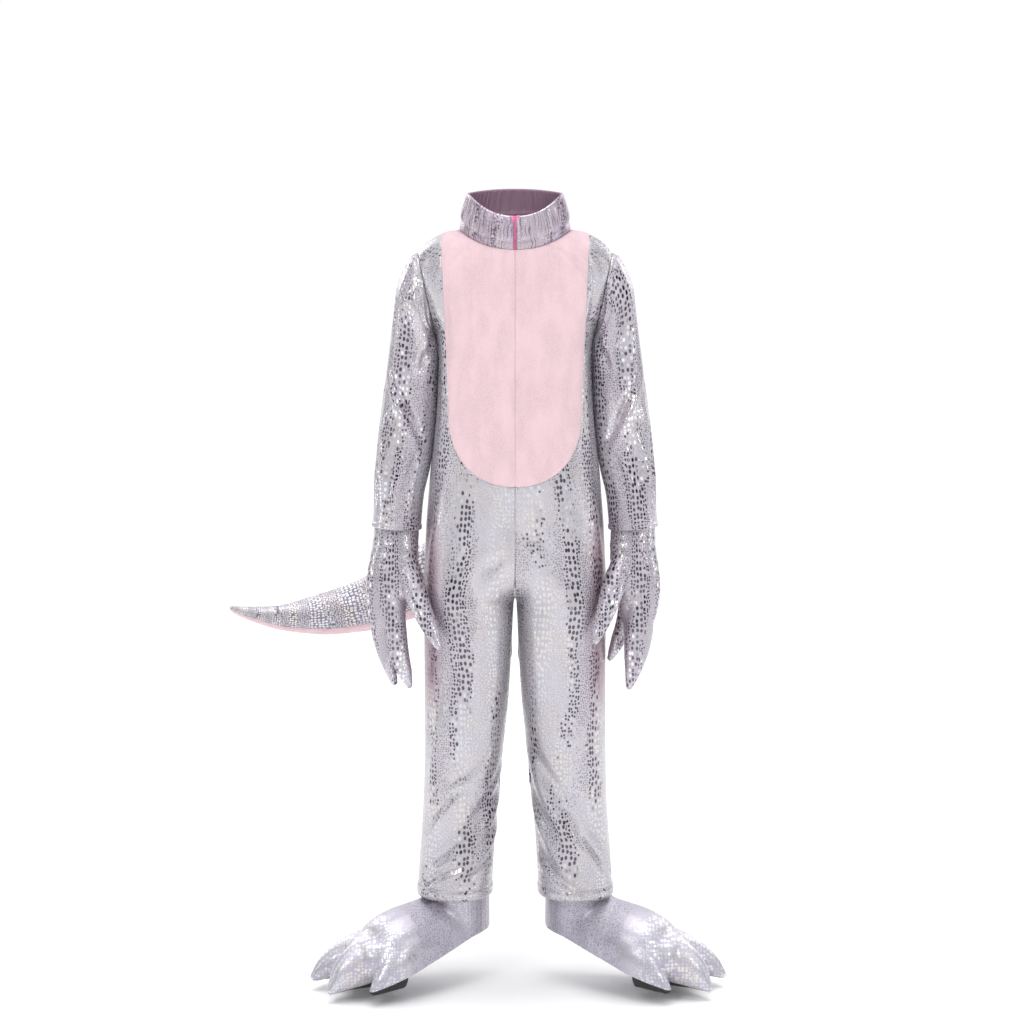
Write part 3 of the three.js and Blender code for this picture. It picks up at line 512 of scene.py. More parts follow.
def trouser_hem_shape(height):
    """The hem's turned-up layer, rounded at the fold and drawn in along its stitches."""
    hem = sizes().trouser_hem / MM
    band = 0.9 * (1 - smooth_step(height, HEM + hem - 0.6, HEM + hem + 0.6))
    fold = -1.6 * (1 - smooth_step(height, HEM, HEM + 2.5))
    return band + fold - 0.8 * bump_at(height, HEM + hem, 1.0)


def normals_of(points, closed=False):
    """Unit normals of a grid of points, pointing away from each row's middle."""
    if closed:
        across = np.roll(points[:, :-1], -1, axis=1) - np.roll(points[:, :-1], 1, axis=1)
        across = np.concatenate([across, across[:, :1]], axis=1)
    else:
        across = np.gradient(points, axis=1)
    along = np.gradient(points, axis=0)
    normal = np.cross(across, along)
    normal /= np.linalg.norm(normal, axis=-1, keepdims=True) + 1e-12
    return normal


def outward(points, normal, centres):
    """The same normals, turned so that on the whole they point away from the centres."""
    if np.sum(normal * (points - centres)) < 0:
        return -normal
    return normal


def cloth_mesh(name, outer, inner, cloth, closed=False):
    """A closed shell between two grids of points and cloth coordinates, all in millimetres.

    Faces of the inner grid have material 1, the cloth's wrong side.
    """
    rows, columns = outer.shape[:2]
    points = np.concatenate([outer.reshape(-1, 3), inner.reshape(-1, 3)])
    points[:, 2] -= SHOULDER_HEIGHT
    coordinates = np.concatenate([cloth.reshape(-1, 2)] * 2)
    index = np.arange(2 * rows * columns).reshape(2, rows, columns)
    front, back = index
    quads = [
        np.stack([front[:-1, :-1], front[:-1, 1:], front[1:, 1:], front[1:, :-1]], -1).reshape(-1, 4),
        np.stack([back[:-1, :-1], back[1:, :-1], back[1:, 1:], back[:-1, 1:]], -1).reshape(-1, 4),
    ]
    for row, turned in ((0, False), (rows - 1, True)):
        rim = np.stack([back[row, :-1], back[row, 1:], front[row, 1:], front[row, :-1]], -1)
        quads.append(rim[:, ::-1] if turned else rim)
    if not closed:
        for column, turned in ((0, True), (columns - 1, False)):
            rim = np.stack([back[:-1, column], back[1:, column], front[1:, column], front[:-1, column]], -1)
            quads.append(rim[:, ::-1] if turned else rim)
    sides = [np.full(len(block), int(number == 1)) for number, block in enumerate(quads)]
    return mesh_object(name, points * MM, np.concatenate(quads), coordinates, np.concatenate(sides))


def mesh_object(name, points, faces, coordinates=None, sides=None):
    """A smooth mesh object from points in metres, with its cloth coordinates as a UV map."""
    mesh = bpy.data.meshes.new(name)
    mesh.from_pydata(points.tolist(), [], faces.tolist())
    mesh.update()
    if sides is not None:
        mesh.materials.append(None)
        mesh.materials.append(None)
        mesh.polygons.foreach_set("material_index", sides.astype(np.int32))
    if coordinates is not None:
        layer = mesh.uv_layers.new(name="cloth")
        corner = np.empty(len(mesh.loops), dtype=np.int32)
        mesh.loops.foreach_get("vertex_index", corner)
        layer.data.foreach_set("uv", coordinates[corner].astype(np.float32).ravel())
    work = bmesh.new()
    work.from_mesh(mesh)
    bmesh.ops.remove_doubles(work, verts=work.verts, dist=2e-6)
    bmesh.ops.dissolve_degenerate(work, dist=1e-7, edges=work.edges)
    bmesh.ops.recalc_face_normals(work, faces=work.faces)
    work.to_mesh(mesh)
    work.free()
    mesh.polygons.foreach_set("use_smooth", [True] * len(mesh.polygons))
    obj = bpy.data.objects.new(name, mesh)
    bpy.context.scene.collection.objects.link(obj)
    return obj


def finish_piece(obj, material, slot, nodes=()):
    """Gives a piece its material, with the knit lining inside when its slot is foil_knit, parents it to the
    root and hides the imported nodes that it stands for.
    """
    if len(obj.data.materials) == 2:
        obj.data.materials[0] = material
        obj.data.materials[1] = lining_material() if slot == "foil_knit" else material
    else:
        obj.data.materials.clear()
        obj.data.materials.append(material)
    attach(obj, "root")
    if nodes:
        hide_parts(*nodes)


def armhole_x(height):
    share = (height - ARMHOLE["low_z"]) / (ARMHOLE["top_z"] - ARMHOLE["low_z"])
    return ARMHOLE["low_x"] + (ARMHOLE["top_x"] - ARMHOLE["low_x"]) * share


def find_turn(rows, side, face, beyond):
    """The turn on each row where a test of the point stops being true, counted from the side."""
    out, into = np.zeros(len(rows)), np.ones(len(rows))
    starts = beyond(body_points(side, face, rows, out))
    for _ in range(34):
        middle = (out + into) / 2
        true = beyond(body_points(side, face, rows, middle))
        out, into = np.where(true, middle, out), np.where(true, into, middle)
    return np.where(starts, out, 0.0)


def armhole_turns(rows, side, face):
    def beyond(points):
        return (np.abs(points[:, 0]) > armhole_x(points[:, 2])) & (points[:, 2] > ARMHOLE["low_z"])

    return find_turn(rows, side, face, beyond)


def belly_half(height):
    """Half the belly's width at each height, seen from the front."""
    drop = np.clip((BELLY["round_from"] - height) / (BELLY["round_from"] - BELLY["bottom"]), 0, 1)
    low = BELLY["low_half"] * (1 - drop ** BELLY["power"]) ** (1 / BELLY["power"])
    rise = np.clip((height - BELLY["round_from"]) / (SHOULDER_HEIGHT - BELLY["round_from"]), 0, 1)
    return low + (BELLY["top_half"] - BELLY["low_half"]) * rise


def belly_turns(rows, side):
    def beyond(points):
        return np.abs(points[:, 0]) > belly_half(points[:, 2])

    turns = find_turn(rows, side, FRONT, beyond)
    return np.where(rows <= BELLY["bottom"], 1.0, turns)


def body_rows():
    """Rows of the suit's grids, closer together at the hem and the belly's round end."""
    step = sizes().grid / MM
    hem = sizes().trouser_hem / MM
    near_hem = HEM + np.array([0, 0.7, 1.6, 2.8, 5, 8, hem - 1.4, hem - 0.7, hem, hem + 0.7, hem + 1.5])
    low = np.arange(HEM + hem + 4, BELLY["bottom"] - step / 2, step)
    span = BELLY["round_from"] - BELLY["bottom"]
    round_angles = np.linspace(math.pi / 2, 0, 34)
    rounded = BELLY["round_from"] - span * np.sin(round_angles) ** (2 / BELLY["power"])
    high = np.arange(BELLY["round_from"] + step, YOKE, step)
    top = YOKE + NECK_ROW * np.linspace(0, 1, 22) ** 1.15
    return np.concatenate([near_hem, low, rounded, high, top])


def seam_relief(across, width=1.5, depth=0.35):
    """Cloth drawn in towards a seam at each end of a row, from distances along it."""
    ends = np.minimum(across, across[:, -1:] - across)
    return -depth * np.exp(-((ends / width) ** 2))


def spaced_turns(start, end, columns, seam_share=0.006):
    """Turns across each row, with close columns beside both seams."""
    inside = np.linspace(0, 1, columns)[1:-1]
    near_start = [0, seam_share, 2.5 * seam_share]
    near_end = [1 - 2.5 * seam_share, 1 - seam_share, 1]
    shares = np.unique(np.concatenate([near_start, inside, near_end]))
    return start[:, None] + (end - start)[:, None] * shares[None, :]


def panel_grid(side, face, rows, start, end, columns, proud, thickness, rounded=0.0):
    """Outer and inner grids and cloth coordinates of a panel between two turns on each row."""
    turns = spaced_turns(start, end, columns)
    rows_grid = np.repeat(rows[:, None], turns.shape[1], axis=1)
    points = body_points(side, face, rows_grid, turns)
    points[..., 0] += side * SEAM_GAP / 2
    points[..., 1] += face * SEAM_GAP / 2
    centres = np.zeros_like(points)
    centres[..., 0] = side * read_table(BODY_SECTIONS, np.minimum(rows_grid, YOKE), 2)
    centres[..., 2] = points[..., 2] - 2
    normal = outward(points, normals_of(points), centres)
    across = np.concatenate(
        [np.zeros((len(rows), 1)), np.cumsum(np.linalg.norm(np.diff(points, axis=1), axis=-1), axis=1)],
        axis=1,
    )
    relief = seam_relief(across) + proud
    if rounded:
        edge = np.clip(across / rounded, 0, 1)
        relief = relief - proud * (1 - np.sqrt(np.clip(2 * edge - edge**2, 0, 1)))
    outer = points + normal * relief[..., None]
    inner = outer - normal * thickness
    for grid in (outer, inner):
        keep_side = side * grid[..., 0] < SEAM_GAP / 2
        grid[..., 0] = np.where(keep_side, side * SEAM_GAP / 2, grid[..., 0])
    cloth = np.stack([(start[:, None] * HALF_GIRTH + across) * side, rows_grid], axis=-1)
    return outer, inner, cloth


def body_panel(side, face):
    """One front or back of the suit, from the hem to the neck."""
    rows = body_rows()
    start = armhole_turns(rows, side, face)
    end = belly_turns(rows, side) if face == FRONT else np.ones(len(rows))
    columns = int(HALF_GIRTH / (sizes().grid / MM))
    outer, inner, cloth = panel_grid(side, face, rows, start, end, columns, 0.0, sizes().knit / MM)
    name = f"{FACE_WORDS[face]}_panel_{SIDE_WORDS[side]}"
    obj = cloth_mesh(name, outer, inner, cloth)
    finish_piece(obj, foil_material(), "foil_knit", [f"{FACE_WORDS[face]}_{SIDE_WORDS[side]}"])
    return outer


def belly_panel(side):
    """One half of the plush belly, standing proud of the knit with a rounded edge."""
    rows = body_rows()
    rows = rows[rows >= BELLY["bottom"] + 0.2]
    start = belly_turns(rows, side) + 0.3 / HALF_GIRTH
    start = np.minimum(start, 0.995)
    columns = int(100 / (sizes().grid / MM))
    thickness = sizes().plush / MM
    outer, inner, cloth = panel_grid(
        side, FRONT, rows, start, np.ones(len(rows)), columns, 1.0, thickness, rounded=3.0
    )
    obj = cloth_mesh(f"belly_panel_{SIDE_WORDS[side]}", outer, inner, cloth)
    finish_piece(obj, plush_material(), "pink_plush", [f"belly_{SIDE_WORDS[side]}"])


def armhole_ring(side, columns):
    """The armhole's edge, from the shoulder round the front and back again."""
    rows = np.concatenate([np.arange(ARMHOLE["low_z"] - 2, YOKE, 0.5), YOKE + np.arange(0, 60, 0.5)])
    halves = []
    for face in (FRONT, BACK):
        turns = armhole_turns(rows, side, face)
        points = body_points(side, face, rows, turns)
        halves.append(points[turns > 1e-6])
    loop = np.concatenate([halves[0][::-1], halves[1]])
    loop = np.concatenate([loop, loop[:1]])
    lengths = np.concatenate([[0], np.cumsum(np.linalg.norm(np.diff(loop, axis=0), axis=1))])
    places = np.linspace(0, lengths[-1], columns + 1)
    return np.stack([np.interp(places, lengths, loop[:, axis]) for axis in range(3)], axis=1)


def sleeve_points(side, rows, columns):
    """Points of a sleeve: row 0 is the armhole, and the rest follow the table's sections."""
    ring = armhole_ring(side, columns)
    ring[:, 0] += side * SEAM_GAP
    around = -np.linspace(0, 2 * math.pi, columns + 1)
    along = np.maximum(rows - 1, 0)
    keys = np.arange(len(SLEEVE_SECTIONS), dtype=float)
    read = [read_table(SLEEVE_SECTIONS, along, column, keys) for column in range(6)]
    outer_x, outer_z, inner_x, inner_z, depth, middle = (value[:, None] for value in read)
    degrees = np.degrees(around)[None, :]
    push = np.zeros((len(rows), columns + 1))
    for low, high, at_low, at_high, width, deep in SLEEVE_CREASES:
        share = (rows[:, None] - low) / (high - low)
        angle = at_low + (at_high - at_low) * np.clip(share, 0, 1)
        away = ((degrees - angle + 180) % 360 - 180) * math.pi / 180 * 36 / width
        ends = smooth_step(share, -0.12, 0.3) * (1 - smooth_step(share, 0.65, 1.12))
        push += deep * ends * (np.exp(-away * away) - 0.45 * np.exp(-((away - 1.9) ** 2)))
    length = SLEEVE_LENGTH - along[:, None] / keys[-1] * SLEEVE_LENGTH
    hem = sizes().sleeve_hem / MM
    push += 0.9 * (1 - smooth_step(length, hem - 0.8, hem + 0.8)) - 0.9 * bump_at(length, hem, 1.2)
    push += -1.4 * (1 - smooth_step(length, 0, 2.5))
    centre_x, centre_z = (outer_x + inner_x) / 2, (outer_z + inner_z) / 2
    half_x, half_z = (outer_x - inner_x) / 2, (outer_z - inner_z) / 2
    grow = 1 + push / np.hypot(half_x, half_z)
    section = np.stack(
        [
            side * (centre_x + half_x * grow * np.cos(around)),
            middle + (depth + push) * np.sin(around),
            centre_z + half_z * grow * np.cos(around),
        ],
        axis=-1,
    )
    share = smooth_step(rows, 0, 2.2)[:, None, None]
    points = ring[None] * (1 - share) + section * share
    least = armhole_x(points[..., 2]) + SEAM_GAP
    inside = (points[..., 2] > ARMHOLE["low_z"]) & (np.abs(points[..., 0]) < least)
    points[..., 0] = np.where(inside, side * least, points[..., 0])
    return points


def sleeve(side):
    """One sleeve, a tube from the armhole to its turned-up hem."""
    last = float(len(SLEEVE_SECTIONS))
    near_armhole = np.linspace(0, 2.2, 26)
    near_hem = np.arange(11.2, last + 0.001, 0.04)
    rows = np.concatenate([near_armhole, np.arange(2.3, 11.2, 0.1), near_hem])
    columns = 72
    points = sleeve_points(side, rows, columns)
    normal = outward(points, normals_of(points, closed=True), points[:, :-1].mean(axis=1, keepdims=True))
    puff = 0.7 * bump_at(rows, 0.4, 0.35)
    outer = points + normal * puff[:, None, None]
    inner = outer - normal * (sizes().knit / MM)
    for grid in (outer, inner):
        least = armhole_x(grid[..., 2]) + SEAM_GAP
        inside = (grid[..., 2] > ARMHOLE["low_z"]) & (np.abs(grid[..., 0]) < least)
        grid[..., 0] = np.where(inside, side * least, grid[..., 0])
    across = np.linspace(0, SLEEVE_GIRTH, columns + 1)[None, :] * side
    down = -rows[:, None] / last * SLEEVE_LENGTH
    cloth = np.stack(np.broadcast_arrays(across, down), axis=-1)
    obj = cloth_mesh(f"sleeve_tube_{SIDE_WORDS[side]}", outer, inner, cloth, closed=True)
    finish_piece(obj, sleeve_material(), "foil_knit", [f"sleeve_{SIDE_WORDS[side]}"])
    return outer, rows


def neck_points(ring, angle, grow):
    """Points of the neck or of the collar's top, at angles from the front through each side."""
    across, along = np.sin(angle), np.cos(angle)
    depth = np.where(along > 0, ring["front"], ring["back"])
    level = np.where(along > 0, -ring["front_drop"], ring["back_rise"])
    x = (ring["side"] + grow) * signed_power(across, 2 / SQUARENESS)
    y = -(depth + grow) * signed_power(along, 2 / SQUARENESS)
    z = ring["height"] + level * along * along
    return np.stack(np.broadcast_arrays(x, y, z), axis=-1)


ZIP_GAP = 3.4
COLLAR_BULGE = 2.0


def collar_points(shares, angles, inset):
    """Points of the collar between the neck (share 0) and its top (share 1)."""
    share, angle = shares[:, None], angles[None, :]
    wave = np.sin(angle * 46 + 2.2 * np.sin(angle * 5) + 0.8 * share) + 0.5 * np.sin(angle * 71 + 1.3)
    ripple = 0.55 * wave * smooth_step(share, 0.24, 0.42) * (1 - smooth_step(share, 0.84, 0.97))
    crease = -1.1 * bump_at(share, 0.27 + 0.03 * np.sin(angle * 3), 0.05)
    grow = COLLAR_BULGE * np.sin(share * math.pi) + ripple + crease - inset
    low = neck_points(NECK, angle, grow)
    low[..., 2] -= 0.2
    high = neck_points(COLLAR_TOP, angle, grow)
    return low + (high - low) * share[..., None]


def collar():
    """The stand-up collar, one strip whose ends meet the zip."""
    start = math.asin((ZIP_GAP / 2 / NECK["side"]) ** (SQUARENESS / 2))
    angles = np.linspace(start, 2 * math.pi - start, 420)
    shares = np.linspace(0, 1, 26)
    thickness = sizes().collar / MM
    edge = np.minimum(shares, 1 - shares) * 46
    round_in = 0.8 * (1 - np.sqrt(np.clip(1 - (1 - np.clip(edge / 1.6, 0, 1)) ** 2, 0, 1)))
    outer = collar_points(shares, angles, 0)
    inner = collar_points(shares, angles, thickness)
    mid = (outer + inner) / 2
    squeeze = (round_in / (thickness / 2))[:, None, None]
    outer, inner = outer + (mid - outer) * squeeze, inner + (mid - inner) * squeeze
    cloth = np.stack(np.broadcast_arrays(angles[None, :] * 60, shares[:, None] * 46), axis=-1)
    obj = cloth_mesh("collar_band", outer, inner, cloth)
    finish_piece(obj, collar_material(), "foil_knit", ["collar"])
    return outer


def box_points(centre, axes, halves):
    """The eight corners of a box with the given half sizes along three axes."""
    signs = np.array([(i, j, k) for i in (-1, 1) for j in (-1, 1) for k in (-1, 1)], dtype=float)
    return centre + (signs * halves) @ axes


BOX_FACES = np.array([(0, 1, 3, 2), (4, 6, 7, 5), (0, 4, 5, 1), (2, 3, 7, 6), (0, 2, 6, 4), (1, 5, 7, 3)])


def joined_boxes(name, boxes, bevel):
    """Many small rounded blocks in one mesh, from lists of centre, axes and half sizes in mm."""
    points = np.concatenate([box_points(*box) for box in boxes])
    points[:, 2] -= SHOULDER_HEIGHT
    faces = np.concatenate([BOX_FACES + 8 * index for index in range(len(boxes))])
    obj = mesh_object(name, points * MM, faces)
    work = bmesh.new()
    work.from_mesh(obj.data)
    bmesh.ops.bevel(work, geom=work.edges, offset=bevel * MM, segments=2, affect="EDGES")
    work.to_mesh(obj.data)
    work.free()
    obj.data.polygons.foreach_set("use_smooth", [True] * len(obj.data.polygons))
    return obj


def zip_fastener():
    """The zip between the collar's edges: its tape, its moulded coil and the folded tape end."""
    shares = np.linspace(0, 1, 40)
    line = collar_points(shares, np.array([0.0]), 0)[:, 0]
    behind = sizes().collar / MM + 0.9
    half = 8.0
    x = np.linspace(-half, half, 17)
    tape = np.repeat(line[:, None, :], len(x), axis=1)
    tape[..., 0] = x
    tape[..., 1] += behind + 0.04 * np.sin(x * 9)
    inner = tape.copy()
    inner[..., 1] += 0.7
    cloth = np.stack(np.broadcast_arrays(x[None, :], shares[:, None] * 40), axis=-1)
    obj = cloth_mesh("zip_ribbon", tape, inner, cloth)
    finish_piece(obj, zip_material(), "pink_zip", ["zip_tape"])
    length = float(np.linalg.norm(np.diff(line, axis=0), axis=1).sum())
    pitch = 1.15
    teeth = []
    for index in range(int(length / pitch)):
        share = (index + 0.5) * pitch / length
        centre = np.array([np.interp(share, shares, line[:, axis]) for axis in range(3)])
        lean = 1 if index % 2 else -1
        centre += (0.65 * lean, behind - 3.6, 0)
        teeth.append((centre, np.eye(3), np.array([1.1, 1.0, 0.46])))
    coil = joined_boxes("zip_coil", teeth, 0.22)
    finish_piece(coil, zip_material(), "pink_zip")
    top = line[-1]
    fold = []
    for lean in (-1, 1):
        turn = math.radians(30 * lean)
        cosine, sine = math.cos(turn), math.sin(turn)
        axes = np.array([(cosine, 0, -sine), (0, 1, 0), (sine, 0, cosine)])
        fold.append((top + (lean * 2.3, -0.3, -3.4 + 0.3 * lean), axes, np.array([1.2, 0.6, 4.4])))
    ends = joined_boxes("zip_tape_ends", fold, 0.3)
    finish_piece(ends, zip_material(), "pink_zip")


def tube_object(name, stations, side_axis, sides=36):
    """A closed tube with elliptical sections and a round end, from (centre, half wide, half tall)."""
    centres = np.array([station[0] for station in stations], dtype=float)
    wide = np.array([station[1] for station in stations], dtype=float)
    tall = np.array([station[2] for station in stations], dtype=float)
    keys = np.arange(len(centres), dtype=float)
    fine = np.linspace(0, keys[-1], 5 * (len(centres) - 1) + 1)
    path = np.stack([read_table(centres, fine, axis, keys) for axis in range(3)], axis=1)
    radii = np.column_stack([keys, wide, tall])
    wide, tall = read_table(radii, fine, 1), read_table(radii, fine, 2)
    ahead = np.gradient(path, axis=0)
    ahead /= np.linalg.norm(ahead, axis=1, keepdims=True)
    across = np.array(side_axis)[None] - ahead * (ahead @ np.array(side_axis))[:, None]
    across /= np.linalg.norm(across, axis=1, keepdims=True)
    up = np.cross(ahead, across)
    turn = np.linspace(0, 2 * math.pi, sides, endpoint=False)
    rings = (
        path[:, None]
        + across[:, None] * (wide[:, None, None] * np.cos(turn)[None, :, None])
        + up[:, None] * (tall[:, None, None] * np.sin(turn)[None, :, None])
    )
    cap_shares = np.array([0.5, 0.8, 0.95])
    caps = []
    for share in cap_shares:
        shrink = math.sqrt(1 - share**2)
        reach = ahead[-1] * wide[-1] * 0.9 * share
        caps.append(path[-1] + reach + (rings[-1] - path[-1]) * shrink)
    rings = np.concatenate([rings, np.array(caps)])
    points = rings.reshape(-1, 3)
    count = len(rings)
    index = np.arange(count * sides).reshape(count, sides)
    after = np.roll(index, -1, axis=1)
    quads = np.stack([index[:-1], after[:-1], after[1:], index[1:]], -1).reshape(-1, 4).tolist()
    quads += [index[0][::-1].tolist(), index[-1].tolist()]
    mesh = bpy.data.meshes.new(name)
    mesh.from_pydata((points * MM).tolist(), [], quads)
    obj = bpy.data.objects.new(name, mesh)
    bpy.context.scene.collection.objects.link(obj)
    return obj


def blended(name, parts, voxel, rounds):
    """One smooth skin round several overlapping closed forms, in the first form's frame."""
    work = bmesh.new()
    for part in parts:
        part.data.transform(part.matrix_basis)
        work.from_mesh(part.data)
        bpy.data.objects.remove(part)
    mesh = bpy.data.meshes.new(name)
    bmesh.ops.recalc_face_normals(work, faces=work.faces)
    work.to_mesh(mesh)
    work.free()
    obj = bpy.data.objects.new(name, mesh)
    bpy.context.scene.collection.objects.link(obj)
    remesh = obj.modifiers.new("Skin", "REMESH")
    remesh.mode = "VOXEL"
    remesh.voxel_size = voxel
    smooth = obj.modifiers.new("Smooth", "SMOOTH")
    smooth.factor = 0.5
    smooth.iterations = rounds
    applied = bpy.data.meshes.new_from_object(obj.evaluated_get(bpy.context.evaluated_depsgraph_get()))
    obj.modifiers.clear()
    obj.data = applied
    return obj


def mesh_copy(obj, name):
    copy = bpy.data.objects.new(name, obj.data.copy())
    copy.data.name = name
    bpy.context.scene.collection.objects.link(copy)
    return copy


def cut_mesh(obj, planes, keep):
    """Cuts a mesh's faces along planes and keeps those whose middle passes the test."""
    work = bmesh.new()
    work.from_mesh(obj.data)
    for point, normal in planes:
        everything = list(work.verts) + list(work.edges) + list(work.faces)
        bmesh.ops.bisect_plane(work, geom=everything, plane_co=point, plane_no=normal, dist=1e-7)
    gone = [face for face in work.faces if not keep(face.calc_center_median())]
    bmesh.ops.delete(work, geom=gone, context="FACES")
    work.to_mesh(obj.data)
    work.free()


def plane_coordinates(obj, across, down):
    """Cloth coordinates in millimetres from two functions of a point in metres."""
    mesh = obj.data
    layer = mesh.uv_layers.get("cloth") or mesh.uv_layers.new(name="cloth")
    points = np.empty(len(mesh.vertices) * 3)
    mesh.vertices.foreach_get("co", points)
    points = points.reshape(-1, 3)
    coordinates = np.stack([across(points), down(points)], axis=1) / MM
    corner = np.empty(len(mesh.loops), dtype=np.int32)
    mesh.loops.foreach_get("vertex_index", corner)
    layer.data.foreach_set("uv", coordinates[corner].astype(np.float32).ravel())


def thickened(obj, thickness):
    """Gives an open skin its cloth thickness, inwards, and leaves plain mesh behind."""
    wall = obj.modifiers.new("Wall", "SOLIDIFY")
    wall.thickness = thickness
    wall.offset = -1
    applied = bpy.data.meshes.new_from_object(obj.evaluated_get(bpy.context.evaluated_depsgraph_get()))
    obj.modifiers.clear()
    obj.data = applied
    obj.data.polygons.foreach_set("use_smooth", [True] * len(obj.data.polygons))


def glove_skin(side):
    """The whole skin of one glove, before it is cut into back and palm."""
    parts = []
    for rows in GLOVES[side]:
        stations = [
            ((side * x, y, height - SHOULDER_HEIGHT), wide, deep) for x, y, height, wide, deep in rows
        ]
        parts.append(tube_object("glove_part", stations, (1, 0, 0)))
    skin = blended(f"glove_{SIDE_WORDS[side]}", parts, 0.0018, 9)
    work = bmesh.new()
    work.from_mesh(skin.data)
    for vertex in work.verts:
        height = vertex.co.z / MM + SHOULDER_HEIGHT
        if height > GLOVE_RIPPLES["from"]:
            ripple = 0.9 * math.sin(height * 0.42 + 0.05 * vertex.co.x / MM)
            fade = max(0.0, 1 - abs(height - GLOVE_RIPPLES["middle"]) / GLOVE_RIPPLES["reach"])
            vertex.co += vertex.normal * ripple * fade * MM * 0.4
    work.to_mesh(skin.data)
    work.free()
    return skin


def glove_around(points):
    """Distance round a glove: across its front, then along its sides."""
    across = np.abs(points[:, 0]) - 0.145
    turned = np.clip(across / 0.02, -1, 1)
    return across + 0.8 * turned * np.maximum(points[:, 1] + 0.045, 0)


def glove(side):
    """One glove: its foil back and its plush palm, sewn along the edge of the hand."""
    skin = glove_skin(side)
    seam_y = GLOVE_SEAM_Y * MM
    wrist = (GLOVE_WRIST - SHOULDER_HEIGHT) * MM
    planes = [
        (Vector((0, seam_y, 0)), Vector((0, 1, 0))),
        (Vector((0, 0, wrist)), Vector((0, 0, 1))),
    ]
    word = SIDE_WORDS[side]
    back = mesh_copy(skin, f"glove_shell_{word}")
    cut_mesh(back, planes, lambda point: point.y < seam_y and point.z < wrist)
    palm = mesh_copy(skin, f"glove_plush_{word}")
    cut_mesh(palm, planes, lambda point: point.y > seam_y and point.z < wrist)
    bpy.data.objects.remove(skin)
    for obj in (back, palm):
        plane_coordinates(obj, glove_around, lambda p: p[:, 2])
    thickened(back, sizes().knit)
    thickened(palm, sizes().plush)
    finish_piece(back, sleeve_material(), "foil_knit", [f"glove_back_{word}"])
    finish_piece(palm, plush_material(), "pink_plush", [f"glove_palm_{word}"])


def foot_frame(side):
    """The matrix that places a foot cover built with X forward and Y towards the other foot."""
    x, y, turn = FOOT[side]
    place = Matrix.Translation((x * MM, y * MM, -SHOULDER_HEIGHT * MM))
    turned = Matrix.Rotation(side * math.radians(turn) - math.pi / 2, 4, "Z")
    mirror = Matrix.Scale(-side, 4, (0, 1, 0))
    return place @ turned @ mirror


def foot_skin():
    """The whole skin of a foot cover in its own frame: ankle, instep and three padded claws."""
    parts = [
        tube_object("foot_part", [((x, y, z), wide, tall) for x, y, z, wide, tall in rows], (0, 1, 0))
        for rows in FOOT_TUBES
    ]
    heights = np.linspace(ANKLE["top"] + 12, ANKLE["low"], 6)
    ankle = [((0, 0, height), ANKLE["across"], ANKLE["along"]) for height in heights]
    parts.append(tube_object("foot_part", ankle, (0, 1, 0)))
    skin = blended("foot_skin", parts, 0.0024, 10)
    work = bmesh.new()
    work.from_mesh(skin.data)
    passage = [vertex for vertex in work.verts if -0.02 < vertex.co.x < 0.08]
    for _ in range(45):
        bmesh.ops.smooth_vert(
            work, verts=passage, factor=0.5, use_axis_x=True, use_axis_y=True, use_axis_z=True
        )
    work.to_mesh(skin.data)
    work.free()
    return skin


def edge_height(forward):
    """Height of the foot cover's lower edge, in metres, at a place forward."""
    return float(np.interp(forward / MM, [row[0] for row in FOOT_EDGE], [row[1] for row in FOOT_EDGE])) * MM


def foot_cover(side, skin):
    """One foot cover and the dark underside of its claws."""
    word = SIDE_WORDS[side]
    planes = []
    for (x0, z0), (x1, z1) in zip(FOOT_EDGE, FOOT_EDGE[1:]):
        planes.append((Vector((x0 * MM, 0, z0 * MM)), Vector((z0 - z1, 0, x1 - x0)).normalized()))
    top, start = ANKLE["top"] * MM, CLAW_UNDERSIDE_FROM * MM
    level = (Vector((0, 0, top)), Vector((0, 0, 1)))
    upright = (Vector((start, 0, 0)), Vector((1, 0, 0)))
    upper = mesh_copy(skin, f"foot_cover_shell_{word}")
    cut_mesh(upper, planes + [level], lambda point: edge_height(point.x) < point.z < top)
    under = mesh_copy(skin, f"claw_backing_{word}")
    cut_mesh(under, planes + [upright], lambda point: point.z < edge_height(point.x) and point.x > start)
    plane_coordinates(upper, lambda p: p[:, 1], lambda p: -p[:, 0])
    plane_coordinates(under, lambda p: p[:, 0], lambda p: p[:, 1])
    for obj in (upper, under):
        thickened(obj, sizes().knit)
        obj.data.transform(foot_frame(side))
        if side == LEFT:
            obj.data.flip_normals()
    finish_piece(upper, foot_material(), "foil_knit", [f"foot_cover_{word}"])
    finish_piece(under, backing_material(), "dark_backing", [f"claw_underside_{word}"])


def tail_points(shares, degrees):
    """Points of the tail at shares of its route and angles round it, 90 degrees on top."""
    keys = np.arange(len(TAIL_ROUTE), dtype=float)
    place = shares * keys[-1]
    path = np.stack([read_table(TAIL_ROUTE, place, axis, keys) for axis in range(3)], axis=1)
    radius = np.maximum(read_table(TAIL_ROUTE, place, 3, keys), 0.7)
    ahead = np.gradient(path, axis=0)
    ahead /= np.linalg.norm(ahead, axis=1, keepdims=True)
    across = np.cross((0, 0, 1), ahead)
    across /= np.linalg.norm(across, axis=1, keepdims=True)
    up = np.cross(ahead, across)
    angle = np.radians(degrees)[None, :, None]
    length = np.concatenate([[0], np.cumsum(np.linalg.norm(np.diff(path, axis=0), axis=1))])
    lumps = 0.5 * np.sin(length * 0.11)[:, None] * np.cos(np.radians(degrees) * 3)[None, :]
    radius = radius[:, None, None] + lumps[..., None] * (radius[:, None, None] > 10)
    points = path[:, None] + across[:, None] * radius * np.cos(angle) + up[:, None] * radius * np.sin(angle)
    return points, length


